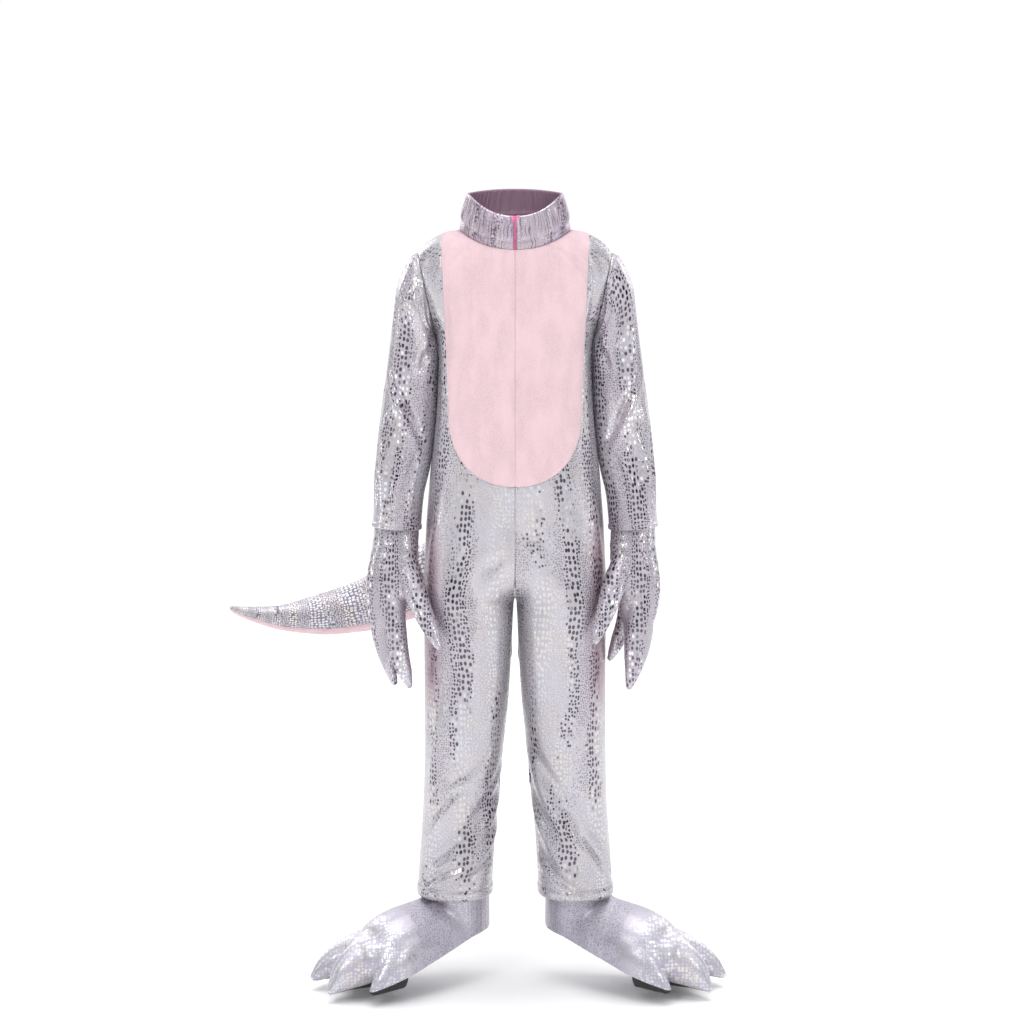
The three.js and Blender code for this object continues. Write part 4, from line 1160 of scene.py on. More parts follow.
def seat_depth(points):
    """How far behind the seat of the suit each point lies, in mm, below zero inside it."""
    high_step, wide_step, columns = 4.0, 2.5, 80
    heights = np.arange(486.0, 640.0, high_step)
    places = np.arange(15.0, 110.1, wide_step)
    turns = np.broadcast_to(np.linspace(0, 1, columns), (len(heights), columns))
    rows = np.repeat(heights[:, None], columns, axis=1)
    row = np.clip((points[..., 2] - heights[0]) / high_step, 0, len(heights) - 1.001)
    column = np.clip((np.abs(points[..., 0]) - places[0]) / wide_step, 0, len(places) - 1.001)
    low, near = row.astype(int), column.astype(int)
    up, out = row - low, column - near
    surface = np.zeros(points.shape[:-1])
    for side in (LEFT, RIGHT):
        grid = body_points(side, BACK, rows, turns)[:, ::-1]
        seat = np.array([np.interp(places, side * line[:, 0], line[:, 1]) for line in grid])
        lower = seat[low, near] * (1 - out) + seat[low, near + 1] * out
        upper = seat[low + 1, near] * (1 - out) + seat[low + 1, near + 1] * out
        surface = np.where(side * points[..., 0] >= 0, lower * (1 - up) + upper * up, surface)
    return points[..., 1] - surface - TAIL_SEAT_GAP


def tail_starts(shares, points):
    """The share of the route at which each line along the tail leaves the seat of the suit."""
    beyond = seat_depth(points)
    beyond[shares > TAIL_ROOT_SHARE] = 1.0
    starts = []
    for line in beyond.T:
        inside = np.flatnonzero(line < 0)
        last = inside[-1] if len(inside) else 0
        crossing = np.clip(-line[last] / (line[last + 1] - line[last]), 0, 1) if len(inside) else 0
        starts.append(shares[last] + crossing * (shares[1] - shares[0]))
    return np.array(starts)


def tail_panel(name, start, end, material, slot, node, thickness):
    """One cut of the tail between two angles, from the seat to the tip, drawn in along its seams."""
    fine = np.linspace(0, 1, 481)
    degrees = np.linspace(start, end, 64)
    fine_points, fine_length = tail_points(fine, degrees)
    fine_middle = tail_points(fine, np.array([0.0, 180.0]))[0].mean(axis=1)
    keys = np.arange(len(TAIL_ROUTE), dtype=float)
    shrink = np.clip(40 / read_table(TAIL_ROUTE, fine * keys[-1], 3, keys), 1, 3)
    fine_along = np.concatenate([[0], np.cumsum(np.diff(fine_length) * shrink[1:])])
    starts = tail_starts(fine, fine_points)[None, :]
    shares = starts + (1 - starts) * np.linspace(0, 1, 126)[:, None]
    points = np.zeros(shares.shape + (3,))
    for axis in range(3):
        for column in range(len(degrees)):
            points[:, column, axis] = np.interp(shares[:, column], fine, fine_points[:, column, axis])
    middle = np.stack([np.interp(shares, fine, fine_middle[:, axis]) for axis in range(3)], axis=-1)
    radius = np.linalg.norm(points - middle, axis=-1, keepdims=True)
    outwards = (points - middle) / radius
    seam = np.minimum(degrees - start, end - degrees)[None, :, None]
    pull = -1.2 * np.exp(-((seam * np.pi / 180 * radius) / 2.2) ** 2)
    outer = points + outwards * np.maximum(pull, -0.4 * radius)
    inner = outer - outwards * np.minimum(thickness, radius * 0.4)
    across = np.broadcast_to(np.radians(degrees - 90)[None, :] * 40, shares.shape)
    cloth = np.stack([np.interp(shares, fine, fine_along), across], axis=-1)
    obj = cloth_mesh(name, outer, inner, cloth)
    finish_piece(obj, material, slot, [node])


def stitches(name, runs):
    """Rows of stitches in one mesh, from lists of (points along the row, outward normals) in mm."""
    length, thread = sizes().stitch / MM, sizes().thread / MM
    corners, faces = [], []
    shape = np.array([(-1, 0, 0), (1, 0, 0), (0, -1, 0), (0, 1, 0), (0, 0, -1), (0, 0, 1)], dtype=float)
    sides = np.array(
        [(0, 4, 2), (2, 4, 1), (1, 4, 3), (3, 4, 0), (0, 2, 5), (2, 1, 5), (1, 3, 5), (3, 0, 5)]
    )
    for points, normals in runs:
        distance = np.concatenate([[0], np.cumsum(np.linalg.norm(np.diff(points, axis=0), axis=1))])
        count = int(distance[-1] / (length * 1.35))
        for number in range(count):
            at = (number + 0.5) * distance[-1] / count
            centre = np.array([np.interp(at, distance, points[:, axis]) for axis in range(3)])
            near = np.array([np.interp(at + 0.5, distance, points[:, axis]) for axis in range(3)])
            normal = np.array([np.interp(at, distance, normals[:, axis]) for axis in range(3)])
            tangent = near - centre
            tangent /= np.linalg.norm(tangent) + 1e-9
            normal -= tangent * (normal @ tangent)
            normal /= np.linalg.norm(normal) + 1e-9
            axes = np.stack([tangent, np.cross(normal, tangent), normal])
            halves = np.array([length / 2, thread / 2, thread / 2])
            faces.append(sides + 6 * len(corners))
            corners.append(centre + normal * thread * 0.2 + (shape * halves) @ axes)
    points = np.concatenate(corners)
    points[:, 2] -= SHOULDER_HEIGHT
    mesh = bpy.data.meshes.new(name)
    mesh.from_pydata((points * MM).tolist(), [], np.concatenate(faces).tolist())
    obj = bpy.data.objects.new(name, mesh)
    bpy.context.scene.collection.objects.link(obj)
    finish_piece(obj, thread_material(), "foil_knit")


def row_with_normals(grid, row):
    """One row of a panel's outer grid with the normals of the cloth there."""
    points = grid[row]
    normal = normals_of(grid[max(row - 1, 0) : row + 2])[min(row, 1)]
    centre = points.mean(axis=0)
    centre[1] = 0
    if np.sum(normal * (points - centre)) < 0:
        normal = -normal
    return points, normal


class Nodes:
    """Short ways to add and join shader nodes in one material or world."""

    def __init__(self, owner):
        self.owner = owner
        owner.use_nodes = True
        self.tree = owner.node_tree
        self.tree.nodes.clear()

    def add(self, kind, settings=None, **inputs):
        node = self.tree.nodes.new("ShaderNode" + kind)
        for key, value in (settings or {}).items():
            setattr(node, key, value)
        for key, value in inputs.items():
            self.put(node, key.replace("_", " "), value)
        return node

    def put(self, node, key, value):
        socket = node.inputs[int(key)] if key.isdigit() else node.inputs[key]
        if isinstance(value, bpy.types.NodeSocket):
            self.tree.links.new(value, socket)
        else:
            socket.default_value = value

    def math(self, operation, *values):
        node = self.add("Math", {"operation": operation})
        for index, value in enumerate(values):
            self.put(node, str(index), value)
        return node.outputs[0]

    def scaled(self, vector, factors):
        node = self.add("VectorMath", {"operation": "MULTIPLY"})
        self.put(node, "0", vector)
        self.put(node, "1", factors)
        return node.outputs[0]

    def ramp(self, value, low, high, to_low=0.0, to_high=1.0):
        node = self.add("MapRange", {"interpolation_type": "SMOOTHSTEP"})
        keys = ("Value", "From Min", "From Max", "To Min", "To Max")
        for key, item in zip(keys, (value, low, high, to_low, to_high)):
            self.put(node, key, item)
        return node.outputs[0]

    def mix(self, share, first, second):
        node = self.add("Mix", {"data_type": "FLOAT"})
        for key, item in zip(("0", "2", "3"), (share, first, second)):
            self.put(node, key, item)
        return node.outputs[0]

    def mix_colour(self, share, first, second):
        node = self.add("Mix", {"data_type": "RGBA"})
        for key, item in zip(("0", "6", "7"), (share, first, second)):
            self.put(node, key, item)
        return node.outputs[2]

    def noise(self, vector, scale, detail=2.0):
        node = self.add("TexNoise", Vector=vector, Scale=scale, Detail=detail)
        return node.outputs["Fac"]

    def tinted(self, share, rgb, tint):
        """A colour multiplied by a tint, as far as the share says."""
        node = self.add("Mix", {"data_type": "RGBA", "blend_type": "MULTIPLY"})
        self.put(node, "0", share)
        self.put(node, "6", rgb)
        self.put(node, "7", colour(tint))
        return node.outputs[2]

    def finish(self, shader, output="OutputMaterial"):
        self.tree.links.new(shader.outputs[0], self.add(output).inputs["Surface"])
        return self.owner


def new_material(name):
    return Nodes(bpy.data.materials.new(name))


def colour(rgb):
    return (*rgb, 1.0)


def shared(name, build):
    """A material made once and then found by its name."""
    return bpy.data.materials.get(name) or build(name)


def lattice(nodes, place, width, height, randomness, solid):
    """Foil scales on a loose lattice: distance from a scale's middle, the middle and a random tilt."""
    cells = nodes.add(
        "TexVoronoi",
        {"voronoi_dimensions": "3D" if solid else "2D", "feature": "F1"},
        Vector=nodes.scaled(place, (1 / width, 1 / height, 1 / width)),
        Scale=1.0,
        Randomness=randomness,
    )
    middle = nodes.scaled(cells.outputs["Position"], (width, height, width))
    return cells.outputs["Distance"], middle, cells.outputs["Color"]


def band_strength(nodes, place, spacing):
    """How far a place on the cloth lies in a column of large scales, from 0 to 1."""
    slow = nodes.noise(nodes.scaled(place, (0.011, 0.006, 0)), 1.0, 1.0)
    warp = nodes.math("MULTIPLY", nodes.math("SUBTRACT", slow, 0.5), 46.0)
    across = nodes.math("ADD", nodes.add("SeparateXYZ", Vector=place).outputs[0], warp)
    wave = nodes.math("COSINE", nodes.math("MULTIPLY", across, 2 * math.pi / spacing))
    breaks = nodes.noise(nodes.scaled(place, (0.026, 0.010, 0)), 1.0, 1.0)
    fade = nodes.math("MULTIPLY", nodes.math("SUBTRACT", breaks, 0.5), 1.6)
    return nodes.math("ADD", nodes.math("MULTIPLY_ADD", wave, 0.5, 0.5), fade)


def within(nodes, value, low, high, soft):
    """1 where a value lies between two limits, and 0 outside them."""
    above = nodes.ramp(value, low - soft, low, 0.0, 1.0)
    below = nodes.ramp(value, high, high + soft, 1.0, 0.0)
    return nodes.math("MULTIPLY", above, below)


# Stretches of the suit in metres that get painted light: from, to and the width of the soft edge.
# The hips get painted shade and a painted pink reflection of the gloves, the thigh columns painted
# dark reflection. Heights are measured from the shoulders.
HIP_PAINTED_LIGHT_HEIGHTS = (-0.52, -0.38, 0.08)
HIP_PAINTED_LIGHT_ASIDE = (0.078, 0.104)
HIP_PAINTED_LIGHT_TO_BACK = (0.0, 0.045)
THIGH_PAINTED_REFLECTION_HEIGHTS = (-0.49, -0.28, 0.06)
RIGHT_PAINTED_REFLECTION_COLUMN = (-0.078, -0.052, 0.012)
LEFT_PAINTED_REFLECTION_COLUMN = (0.066, 0.092, 0.014)
BETWEEN_PAINTED_REFLECTION_COLUMNS = (-0.034, 0.040, 0.014)


def hip_tint(nodes):
    """How far a place lies on the sides of the hips, where painted shade and a painted pink reflection of
    the gloves darken the knit.
    """
    place = nodes.add("SeparateXYZ", Vector=nodes.add("TexCoord").outputs["Object"])
    aside = nodes.ramp(nodes.math("ABSOLUTE", place.outputs[0]), *HIP_PAINTED_LIGHT_ASIDE)
    hips = nodes.math("MULTIPLY", aside, within(nodes, place.outputs[2], *HIP_PAINTED_LIGHT_HEIGHTS))
    return nodes.math("MULTIPLY", hips, nodes.ramp(place.outputs[1], *HIP_PAINTED_LIGHT_TO_BACK, 1.0, 0.0))


def column_level(nodes):
    """Raises the painted dark reflection in the two long columns down the thighs and lowers it between
    them.
    """
    place = nodes.add("SeparateXYZ", Vector=nodes.add("TexCoord").outputs["Object"])
    across, height = place.outputs[0], place.outputs[2]
    right = within(nodes, across, *RIGHT_PAINTED_REFLECTION_COLUMN)
    left = within(nodes, across, *LEFT_PAINTED_REFLECTION_COLUMN)
    between = within(nodes, across, *BETWEEN_PAINTED_REFLECTION_COLUMNS)
    sides = nodes.math("MULTIPLY_ADD", right, 0.09, nodes.math("MULTIPLY", left, 0.05))
    level = nodes.math("MULTIPLY_ADD", between, -0.10, sides)
    return nodes.math("MULTIPLY", level, within(nodes, height, *THIGH_PAINTED_REFLECTION_HEIGHTS))


def dark_stretch(nodes, middle, raised, style):
    """How far a scale is painted dark, a painted reflection of the dark surroundings, in long uneven
    stretches of the columns.
    """
    stretches = nodes.noise(nodes.scaled(middle, (0.021, 0.0085, 0)), 1.0, 1.0)
    speckle = nodes.noise(nodes.scaled(middle, (0.35, 0.35, 0)), 1.0, 0.0)
    level = nodes.math("MULTIPLY_ADD", nodes.math("SUBTRACT", speckle, 0.5), 0.30, stretches)
    level = nodes.math("ADD", level, raised)
    # More painted dark reflection down the thigh columns and less between them.
    if style["hips"]:
        level = nodes.math("ADD", level, column_level(nodes))
    return nodes.ramp(level, 0.60 - style["dark"], 0.64 - style["dark"])


def pleat_lines(nodes, cloth, pitch):
    """Painted shade in fine uneven lines down the collar, where the gathered knit folds in."""
    place = nodes.add("SeparateXYZ", Vector=cloth)
    sway = nodes.noise(nodes.scaled(cloth, (0.05, 0.04, 0)), 1.0, 1.0)
    across = nodes.math("MULTIPLY_ADD", sway, 14.0, place.outputs[0])
    wave = nodes.math("COSINE", nodes.math("MULTIPLY", across, 2 * math.pi / pitch))
    strength = nodes.ramp(nodes.noise(nodes.scaled(cloth, (0.09, 0.03, 0)), 1.0, 1.0), 0.38, 0.62)
    return nodes.math("MULTIPLY", nodes.ramp(wave, 0.30, 0.95), strength)


def foil_print(nodes, cloth, style):
    """The printed scales, 1 on foil and 0 on the ground, with each scale's tilt and how far it is painted
    dark as a reflection of dark surroundings.
    """
    fill = style["fill"]
    claws = nodes.ramp(nodes.add("SeparateXYZ", Vector=cloth).outputs[1], -112.0, -72.0, 1.0, 0.0)
    boost = nodes.math("MULTIPLY", claws, style["claws"])
    wide = sizes().large_scale / MM * style["size"]
    high = wide * style["tall"]
    place, solid = cloth, style["solid"]
    if solid:
        place = nodes.scaled(nodes.add("TexCoord").outputs["Object"], (1 / MM, 1 / MM, 1 / MM))
    small = lattice(nodes, place, wide * 0.50, high * 0.54, 0.7, solid)
    medium = lattice(nodes, place, wide * 0.72, high * 0.86, 0.55, solid)
    large = lattice(nodes, place, wide, high * 1.38, 0.42, solid)
    mask = nodes.ramp(small[0], 0.24 * fill, 0.34 * fill, 1.0, 0.0)
    tilt = small[2]
    dark = nodes.math("MULTIPLY", dark_stretch(nodes, small[1], 0.0, style), 0.7)
    for (distance, middle, turned), over in ((medium, style["medium"]), (large, style["large"])):
        strength = nodes.math("ADD", band_strength(nodes, middle, style["spacing"]), boost)
        chosen = nodes.math("GREATER_THAN", strength, over)
        mask = nodes.mix(chosen, mask, nodes.ramp(distance, 0.30 * fill, 0.38 * fill, 1.0, 0.0))
        tilt = nodes.mix_colour(chosen, tilt, turned)
        raised = nodes.math("MULTIPLY", nodes.math("SUBTRACT", strength, over), 0.10)
        dark = nodes.mix(chosen, dark, dark_stretch(nodes, middle, raised, style))
    if style["claws"]:
        dark = nodes.mix(claws, dark, 0.0)
    return mask, tilt, dark


def foil_cloth(name, style):
    """Lilac-grey knit with printed foil scales, each tilted a little differently, with painted dark
    reflection in stretches of the scales; on the suit painted shade and a painted pink reflection on the
    hips, and on the collar painted shade along the pleats.
    """
    nodes = new_material(name)
    cloth = nodes.add("UVMap", {"uv_map": "cloth"}).outputs[0]
    foil, tilt, dark = foil_print(nodes, cloth, style)
    patch = nodes.noise(nodes.scaled(cloth, (0.02, 0.012, 0)), 1.0, 3.0)
    knit = nodes.noise(nodes.scaled(cloth, (2.2, 1.6, 0)), 1.0, 1.0)
    ground = [channel * tone for channel, tone in zip(colours().ground, style["tone"])]
    deep = [channel * 0.84 for channel in ground]
    base = nodes.mix_colour(nodes.ramp(patch, 0.35, 0.7), colour(deep), colour(ground))
    base = nodes.mix_colour(nodes.math("MULTIPLY", knit, 0.25), base, colour([c * 0.8 for c in ground]))
    hue = nodes.noise(nodes.scaled(cloth, (0.03, 0.02, 0)), 1.0, 2.0)
    warm, cool = [
        [channel * style["shine"] for channel in tint] for tint in ((1.02, 0.98, 0.90), (0.94, 0.97, 0.99))
    ]
    shine = nodes.mix_colour(nodes.ramp(hue, 0.4, 0.6), colour(warm), colour(cool))
    # Painted dark reflection: scales in the dark stretches take a near-black colour instead of the pale
    # foil.
    shine = nodes.mix_colour(nodes.math("MULTIPLY", dark, 0.90), shine, colour(colours().gunmetal))
    printed = nodes.mix_colour(foil, base, shine)
    # Painted shade and a painted pink reflection of the gloves on the sides of the hips.
    if style["hips"]:
        printed = nodes.tinted(hip_tint(nodes), printed, (0.60, 0.44, 0.50))
    # Painted shade darkens the knit along the collar's pleats.
    if style["pleats"]:
        printed = nodes.tinted(pleat_lines(nodes, cloth, style["pleats"]), printed, (0.42, 0.36, 0.42))
    surface = nodes.math("ADD", nodes.math("MULTIPLY", foil, 0.25), nodes.math("MULTIPLY", knit, 0.2))
    centred = nodes.add("VectorMath", {"operation": "SUBTRACT"})
    nodes.put(centred, "0", tilt)
    nodes.put(centred, "1", (0.5, 0.5, 0.5))
    leaning = nodes.scaled(centred.outputs[0], [style["tilt"]] * 3)
    tilted = nodes.add("VectorMath", {"operation": "ADD"})
    nodes.put(tilted, "0", nodes.add("NewGeometry").outputs["Normal"])
    nodes.put(tilted, "1", leaning)
    unit = nodes.add("VectorMath", {"operation": "NORMALIZE"})
    nodes.put(unit, "0", tilted.outputs[0])
    bump = nodes.add("Bump", Strength=0.45, Distance=0.0004, Height=surface, Normal=unit.outputs[0])
    shader = nodes.add(
        "BsdfPrincipled",
        Base_Color=printed,
        Metallic=nodes.mix(foil, 0.28, style["metal"]),
        Roughness=nodes.mix(foil, 0.38, style["gloss"]),
        Normal=bump.outputs[0],
    )
    shader.inputs["Sheen Weight"].default_value = 0.12
    shader.inputs["Sheen Roughness"].default_value = 0.4
    return nodes.finish(shader)


# Printed cloths.
# size: scales against the largest. tall: their height against their width.
# spacing: distance of the columns in mm. large, medium: thresholds above which scales get so big.
# fill: how full each place is. tilt: how far the scales lean. claws: how much larger on the claws.
# dark: share of the scales painted dark as a reflection of dark surroundings. tone: tint of the ground.
# shine, gloss, metal: brightness, roughness and metal of the pale scales.
# solid: lattice in space, for the moulded feet. hips: painted shade and a painted pink reflection on the
# hips, and painted dark reflection down the thigh columns.
# pleats: distance of the painted shade lines along the collar's folds in mm, 0 for none.
SUIT_PRINT = dict(
    size=1.0, tall=1.05, spacing=44.0, large=0.80, medium=0.40, fill=1.0, tilt=0.09, claws=0.0,
    dark=0.07, tone=(1.0, 1.0, 1.0), shine=0.57, gloss=0.26, metal=1.0,
    solid=False, hips=True, pleats=0.0,
)
SLEEVE_PRINT = dict(
    size=0.95, tall=1.0, spacing=40.0, large=0.80, medium=0.36, fill=1.0, tilt=0.15, claws=0.0,
    dark=0.12, tone=(0.96, 0.94, 0.97), shine=0.74, gloss=0.16, metal=1.0,
    solid=False, hips=False, pleats=0.0,
)
COLLAR_PRINT = dict(
    size=0.66, tall=1.0, spacing=30.0, large=1.05, medium=0.62, fill=1.04, tilt=0.07, claws=0.0,
    dark=0.10, tone=(0.92, 0.78, 0.90), shine=0.58, gloss=0.30, metal=0.9,
    solid=False, hips=False, pleats=4.2,
)
FOOT_PRINT = dict(
    size=0.82, tall=1.0, spacing=60.0, large=1.95, medium=1.55, fill=1.30, tilt=0.04, claws=1.8,
    dark=0.21, tone=(0.98, 0.98, 1.06), shine=0.70, gloss=0.30, metal=0.75,
    solid=True, hips=False, pleats=0.0,
)
TAIL_PRINT = dict(
    size=1.5, tall=0.52, spacing=60.0, large=0.62, medium=0.20, fill=1.12, tilt=0.05, claws=0.0,
    dark=-0.04, tone=(0.48, 0.43, 0.52), shine=0.76, gloss=0.42, metal=0.45,
    solid=False, hips=False, pleats=0.0,
)


def foil_material():
    return shared("Foil scale knit", lambda name: foil_cloth(name, SUIT_PRINT))


def collar_material():
    return shared("Collar foil knit", lambda name: foil_cloth(name, COLLAR_PRINT))


def sleeve_material():
    return shared("Sleeve foil knit", lambda name: foil_cloth(name, SLEEVE_PRINT))


def foot_material():
    return shared("Foot foil knit", lambda name: foil_cloth(name, FOOT_PRINT))


def tail_material():
    return shared("Tail foil knit", lambda name: foil_cloth(name, TAIL_PRINT))


def lining_material():
    base = colours().lining
    return shared("Knit lining", lambda name: woven(name, [c * 0.8 for c in base], base, 0.0008, 0.8))


def plush_cloth(name):
    """Short pink pile, brushed in soft patches."""
    nodes = new_material(name)
    place = nodes.add("TexCoord").outputs["Object"]
    nap = nodes.noise(nodes.scaled(place, (60, 60, 26)), 1.0, 4.0)
    pile = nodes.noise(nodes.scaled(place, (1500, 1500, 900)), 1.0, 2.0)
    pink = colours().plush
    shade = nodes.mix_colour(nodes.ramp(nap, 0.35, 0.68), colour([c * 0.86 for c in pink]), colour(pink))
    tips = nodes.mix_colour(nodes.ramp(pile, 0.35, 0.75), shade, colour([min(1, c * 1.10) for c in pink]))
    height = nodes.math("ADD", pile, nodes.math("MULTIPLY", nap, 0.8))
    bump = nodes.add("Bump", Strength=0.8, Distance=0.001, Height=height)
    shader = nodes.add("BsdfPrincipled", Base_Color=tips, Normal=bump.outputs[0])
    shader.inputs["Roughness"].default_value = 0.95
    shader.inputs["Sheen Weight"].default_value = 0.55
    shader.inputs["Sheen Roughness"].default_value = 0.45
    shader.inputs["Sheen Tint"].default_value = (1.0, 0.86, 0.90, 1.0)
    shader.inputs["Specular IOR Level"].default_value = 0.2
    return nodes.finish(shader)


def plush_material():
    return shared("Pink plush", plush_cloth)


def woven(name, base, lighter, pitch, roughness):
    """A plain woven cloth with a fine grain."""
    nodes = new_material(name)
    place = nodes.scaled(nodes.add("TexCoord").outputs["Object"], (1 / pitch, 1 / pitch, 1 / pitch))
    grain = nodes.noise(place, 1.0, 1.0)
    shade = nodes.mix_colour(nodes.ramp(grain, 0.35, 0.7), colour(base), colour(lighter))
    bump = nodes.add("Bump", Strength=0.4, Distance=0.0003, Height=grain)
    shader = nodes.add("BsdfPrincipled", Base_Color=shade, Normal=bump.outputs[0])
    shader.inputs["Roughness"].default_value = roughness
    return nodes.finish(shader)


def backing_material():
    base = colours().backing
    return shared(
        "Dark claw backing", lambda name: woven(name, base, [c * 3 + 0.01 for c in base], 0.0009, 0.85)
    )


def zip_material():
    base = colours().zip
    return shared(
        "Pink zip", lambda name: woven(name, base, [min(1, c * 1.25 + 0.03) for c in base], 0.0006, 0.5)
    )


def thread_material():
    base = colours().ground
    return shared("Lilac thread", lambda name: woven(name, [c * 0.7 for c in base], base, 0.0004, 0.6))


class COSTUME_OT_stage(bpy.types.Operator):
    """Makes the camera, the pale floor and the soft studio lights"""

    bl_idname = "costume.stage"
    bl_label = "Stage"

    def execute(self, context):
        scene = context.scene
        camera = bpy.data.objects.new("Camera", bpy.data.cameras.new("Camera"))
        scene.collection.objects.link(camera)
        camera.location = (-0.0036, -3.0, 0.95 - SHOULDER_HEIGHT * MM)
        camera.rotation_euler = (math.radians(83.0), 0, 0)
        camera.data.lens = 88
        camera.data.sensor_width = 36
        scene.camera = camera
        floor = self.floor(scene)
        for name, place, aim, size, power in (
            ("Key", (-1.7, -2.7, 1.7), (0, 0, -0.3), (1.2, 1.6), 31),
            ("Fill", (2.1, -2.6, 1.1), (0, 0, -0.4), (1.0, 1.6), 22),
            ("Left strip", (-2.5, -0.1, 0.2), (0, 0, -0.3), (0.45, 2.2), 8),
            ("Right strip", (2.5, -0.1, 0.2), (0, 0, -0.3), (0.45, 2.2), 8),
            ("Back left", (-1.6, 2.2, 0.9), (0, 0, -0.4), (1.0, 1.6), 14),
            ("Back right", (1.8, 2.0, 0.9), (0, 0, -0.4), (1.0, 1.6), 14),
        ):
            self.light(scene, name, place, aim, size, power)
        overhead = bpy.data.lights.new("Overhead", "SUN")
        overhead.energy, overhead.angle = 1.5, math.radians(40)
        scene.collection.objects.link(bpy.data.objects.new("Overhead", overhead))
        self.surroundings(scene)
        return {"FINISHED"}

    def floor(self, scene):
        radius, rings, sides = 60.0, 24, 64
        z = -SHOULDER_HEIGHT * MM
        points = [(0, 0, z)]
        for ring in range(1, rings + 1):
            reach = radius * (ring / rings) ** 2
            points += [
                (reach * math.cos(2 * math.pi * i / sides), reach * math.sin(2 * math.pi * i / sides), z)
                for i in range(sides)
            ]
        faces = [(0, 1 + i, 1 + (i + 1) % sides) for i in range(sides)]
        for ring in range(rings - 1):
            low, high = 1 + ring * sides, 1 + (ring + 1) * sides
            for i in range(sides):
                after = (i + 1) % sides
                faces.append((low + i, high + i, high + after, low + after))
        mesh = bpy.data.meshes.new("Floor")
        mesh.from_pydata(points, [], faces)
        nodes = new_material("Pale floor")
        shader = nodes.add("BsdfPrincipled")
        shader.inputs["Base Color"].default_value = (0.90, 0.90, 0.905, 1)
        shader.inputs["Roughness"].default_value = 0.9
        mesh.materials.append(nodes.finish(shader))
        obj = bpy.data.objects.new("Floor", mesh)
        scene.collection.objects.link(obj)
        return obj

    def light(self, scene, name, place, aim, size, power):
        data = bpy.data.lights.new(name, "AREA")
        data.shape = "RECTANGLE"
        data.size, data.size_y = size
        data.energy = power
        obj = bpy.data.objects.new(name, data)
        scene.collection.objects.link(obj)
        obj.location = place
        obj.rotation_euler = (Vector(aim) - Vector(place)).to_track_quat("-Z", "Y").to_euler()

    def surroundings(self, scene):
        """A pale studio whose two side walls are dark, so that the foil has something to reflect."""
        scene.world = bpy.data.worlds.new("Studio")
        nodes = Nodes(scene.world)
        split = nodes.add("SeparateXYZ", Vector=nodes.add("TexCoord").outputs["Generated"])
        x, y, z = split.outputs
        azimuth = nodes.math("ARCTAN2", nodes.math("ABSOLUTE", x), nodes.math("MULTIPLY", y, -1.0))
        begins = nodes.ramp(azimuth, math.radians(15), math.radians(25))
        ends = nodes.ramp(azimuth, math.radians(126), math.radians(148), 1.0, 0.0)
        below = nodes.ramp(z, 0.55, 0.80, 1.0, 0.0)
        dark = nodes.math("MULTIPLY", nodes.math("MULTIPLY", begins, ends), below)
        pale = nodes.ramp(azimuth, math.radians(90), math.radians(140), 0.66, 1.03)
        strength = nodes.mix(dark, pale, 0.13)
        strength = nodes.math("ADD", strength, nodes.ramp(z, 0.6, 0.85, 0.0, 0.25))
        shader = nodes.add("Background", Color=(0.98, 0.98, 1.0, 1.0), Strength=strength)
        nodes.finish(shader, "OutputWorld")
        scene.view_settings.view_transform = "Standard"


class COSTUME_OT_suit(bpy.types.Operator):
    """Makes the suit's fronts, backs, belly and their stitches"""

    bl_idname = "costume.suit"
    bl_label = "Suit"

    def execute(self, context):
        runs = []
        rows = body_rows()
        hem_row = int(np.argmin(np.abs(rows - (HEM + sizes().trouser_hem / MM))))
        for side in (RIGHT, LEFT):
            for face in (FRONT, BACK):
                runs.append(row_with_normals(body_panel(side, face), hem_row))
            belly_panel(side)
        stitches("trouser_hem_stitches", runs)
        return {"FINISHED"}


class COSTUME_OT_sleeves(bpy.types.Operator):
    """Makes both sleeves and their hem stitches"""

    bl_idname = "costume.sleeves"
    bl_label = "Sleeves"

    def execute(self, context):
        runs = []
        for side in (RIGHT, LEFT):
            outer, rows = sleeve(side)
            last = len(SLEEVE_SECTIONS)
            hem = last - 1 - sizes().sleeve_hem / MM / SLEEVE_LENGTH * (last - 1)
            row = int(np.argmin(np.abs(rows - 1 - hem)))
            runs.append((outer[row], outer[row] - outer[row].mean(axis=0)))
        stitches("sleeve_hem_stitches", runs)
        return {"FINISHED"}


class COSTUME_OT_collar(bpy.types.Operator):
    """Makes the collar and the zip between its edges"""

    bl_idname = "costume.collar"
    bl_label = "Collar and zip"

    def execute(self, context):
        outer = collar()
        runs = []
        for row in (2, len(outer) - 3):
            runs.append((outer[row], outer[row] - outer[row].mean(axis=0)))
        stitches("collar_stitches", runs)
        zip_fastener()
        return {"FINISHED"}


class COSTUME_OT_gloves(bpy.types.Operator):
    """Makes both gloves"""

    bl_idname = "costume.gloves"
    bl_label = "Gloves"

    def execute(self, context):
        for side in (RIGHT, LEFT):
            glove(side)
        return {"FINISHED"}


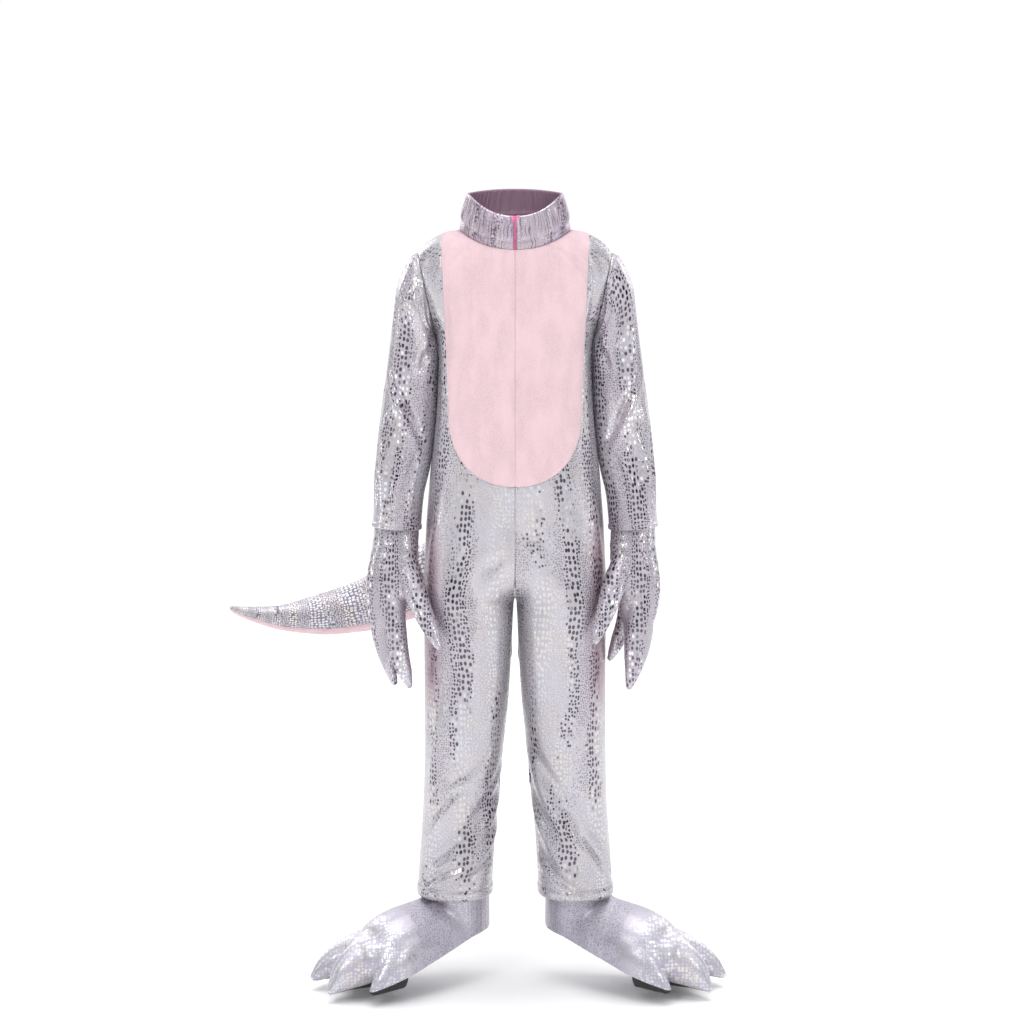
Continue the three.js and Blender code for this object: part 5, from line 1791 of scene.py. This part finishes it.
class COSTUME_OT_tail(bpy.types.Operator):
    """Makes the tail's foil top and plush underside"""

    bl_idname = "costume.tail"
    bl_label = "Tail"

    def execute(self, context):
        drop, gap = TAIL_SEAM_DROP, 0.4
        tail_panel(
            "tail_foil", -drop + gap, 180 + drop - gap, tail_material(), "foil_knit", "tail_top", 1.4
        )
        tail_panel(
            "tail_plush",
            180 + drop + gap,
            360 - drop - gap,
            plush_material(),
            "pink_plush",
            "tail_underside",
            2.0,
        )
        return {"FINISHED"}


class COSTUME_OT_feet(bpy.types.Operator):
    """Makes both foot covers and the dark undersides of their claws"""

    bl_idname = "costume.feet"
    bl_label = "Foot covers"

    def execute(self, context):
        skin = foot_skin()
        for side in (RIGHT, LEFT):
            foot_cover(side, skin)
        bpy.data.objects.remove(skin)
        return {"FINISHED"}


STEPS = ("stage", "suit", "sleeves", "collar", "gloves", "tail", "feet")


class COSTUME_PT_panel(bpy.types.Panel):
    """Lists the costume's steps, sizes and colours"""

    bl_idname = "COSTUME_PT_panel"
    bl_label = "Dinosaur Costume"
    bl_space_type = "VIEW_3D"
    bl_region_type = "UI"
    bl_category = "Costume"

    def draw(self, context):
        layout = self.layout
        for step in STEPS:
            layout.operator(f"costume.{step}")
        for group in (context.scene.costume_sizes, context.scene.costume_colours):
            for key in group.__annotations__:
                layout.prop(group, key)


CLASSES = (
    CostumeSizes,
    CostumeColours,
    COSTUME_OT_stage,
    COSTUME_OT_suit,
    COSTUME_OT_sleeves,
    COSTUME_OT_collar,
    COSTUME_OT_gloves,
    COSTUME_OT_tail,
    COSTUME_OT_feet,
    COSTUME_PT_panel,
)


def register():
    for cls in CLASSES:
        bpy.utils.register_class(cls)
    bpy.types.Scene.costume_sizes = bpy.props.PointerProperty(type=CostumeSizes)
    bpy.types.Scene.costume_colours = bpy.props.PointerProperty(type=CostumeColours)


def unregister():
    del bpy.types.Scene.costume_colours
    del bpy.types.Scene.costume_sizes
    for cls in reversed(CLASSES):
        bpy.utils.unregister_class(cls)


def main():
    register()
    for step in STEPS:
        getattr(bpy.ops.costume, step)()


if __name__ == "__main__":
    main()
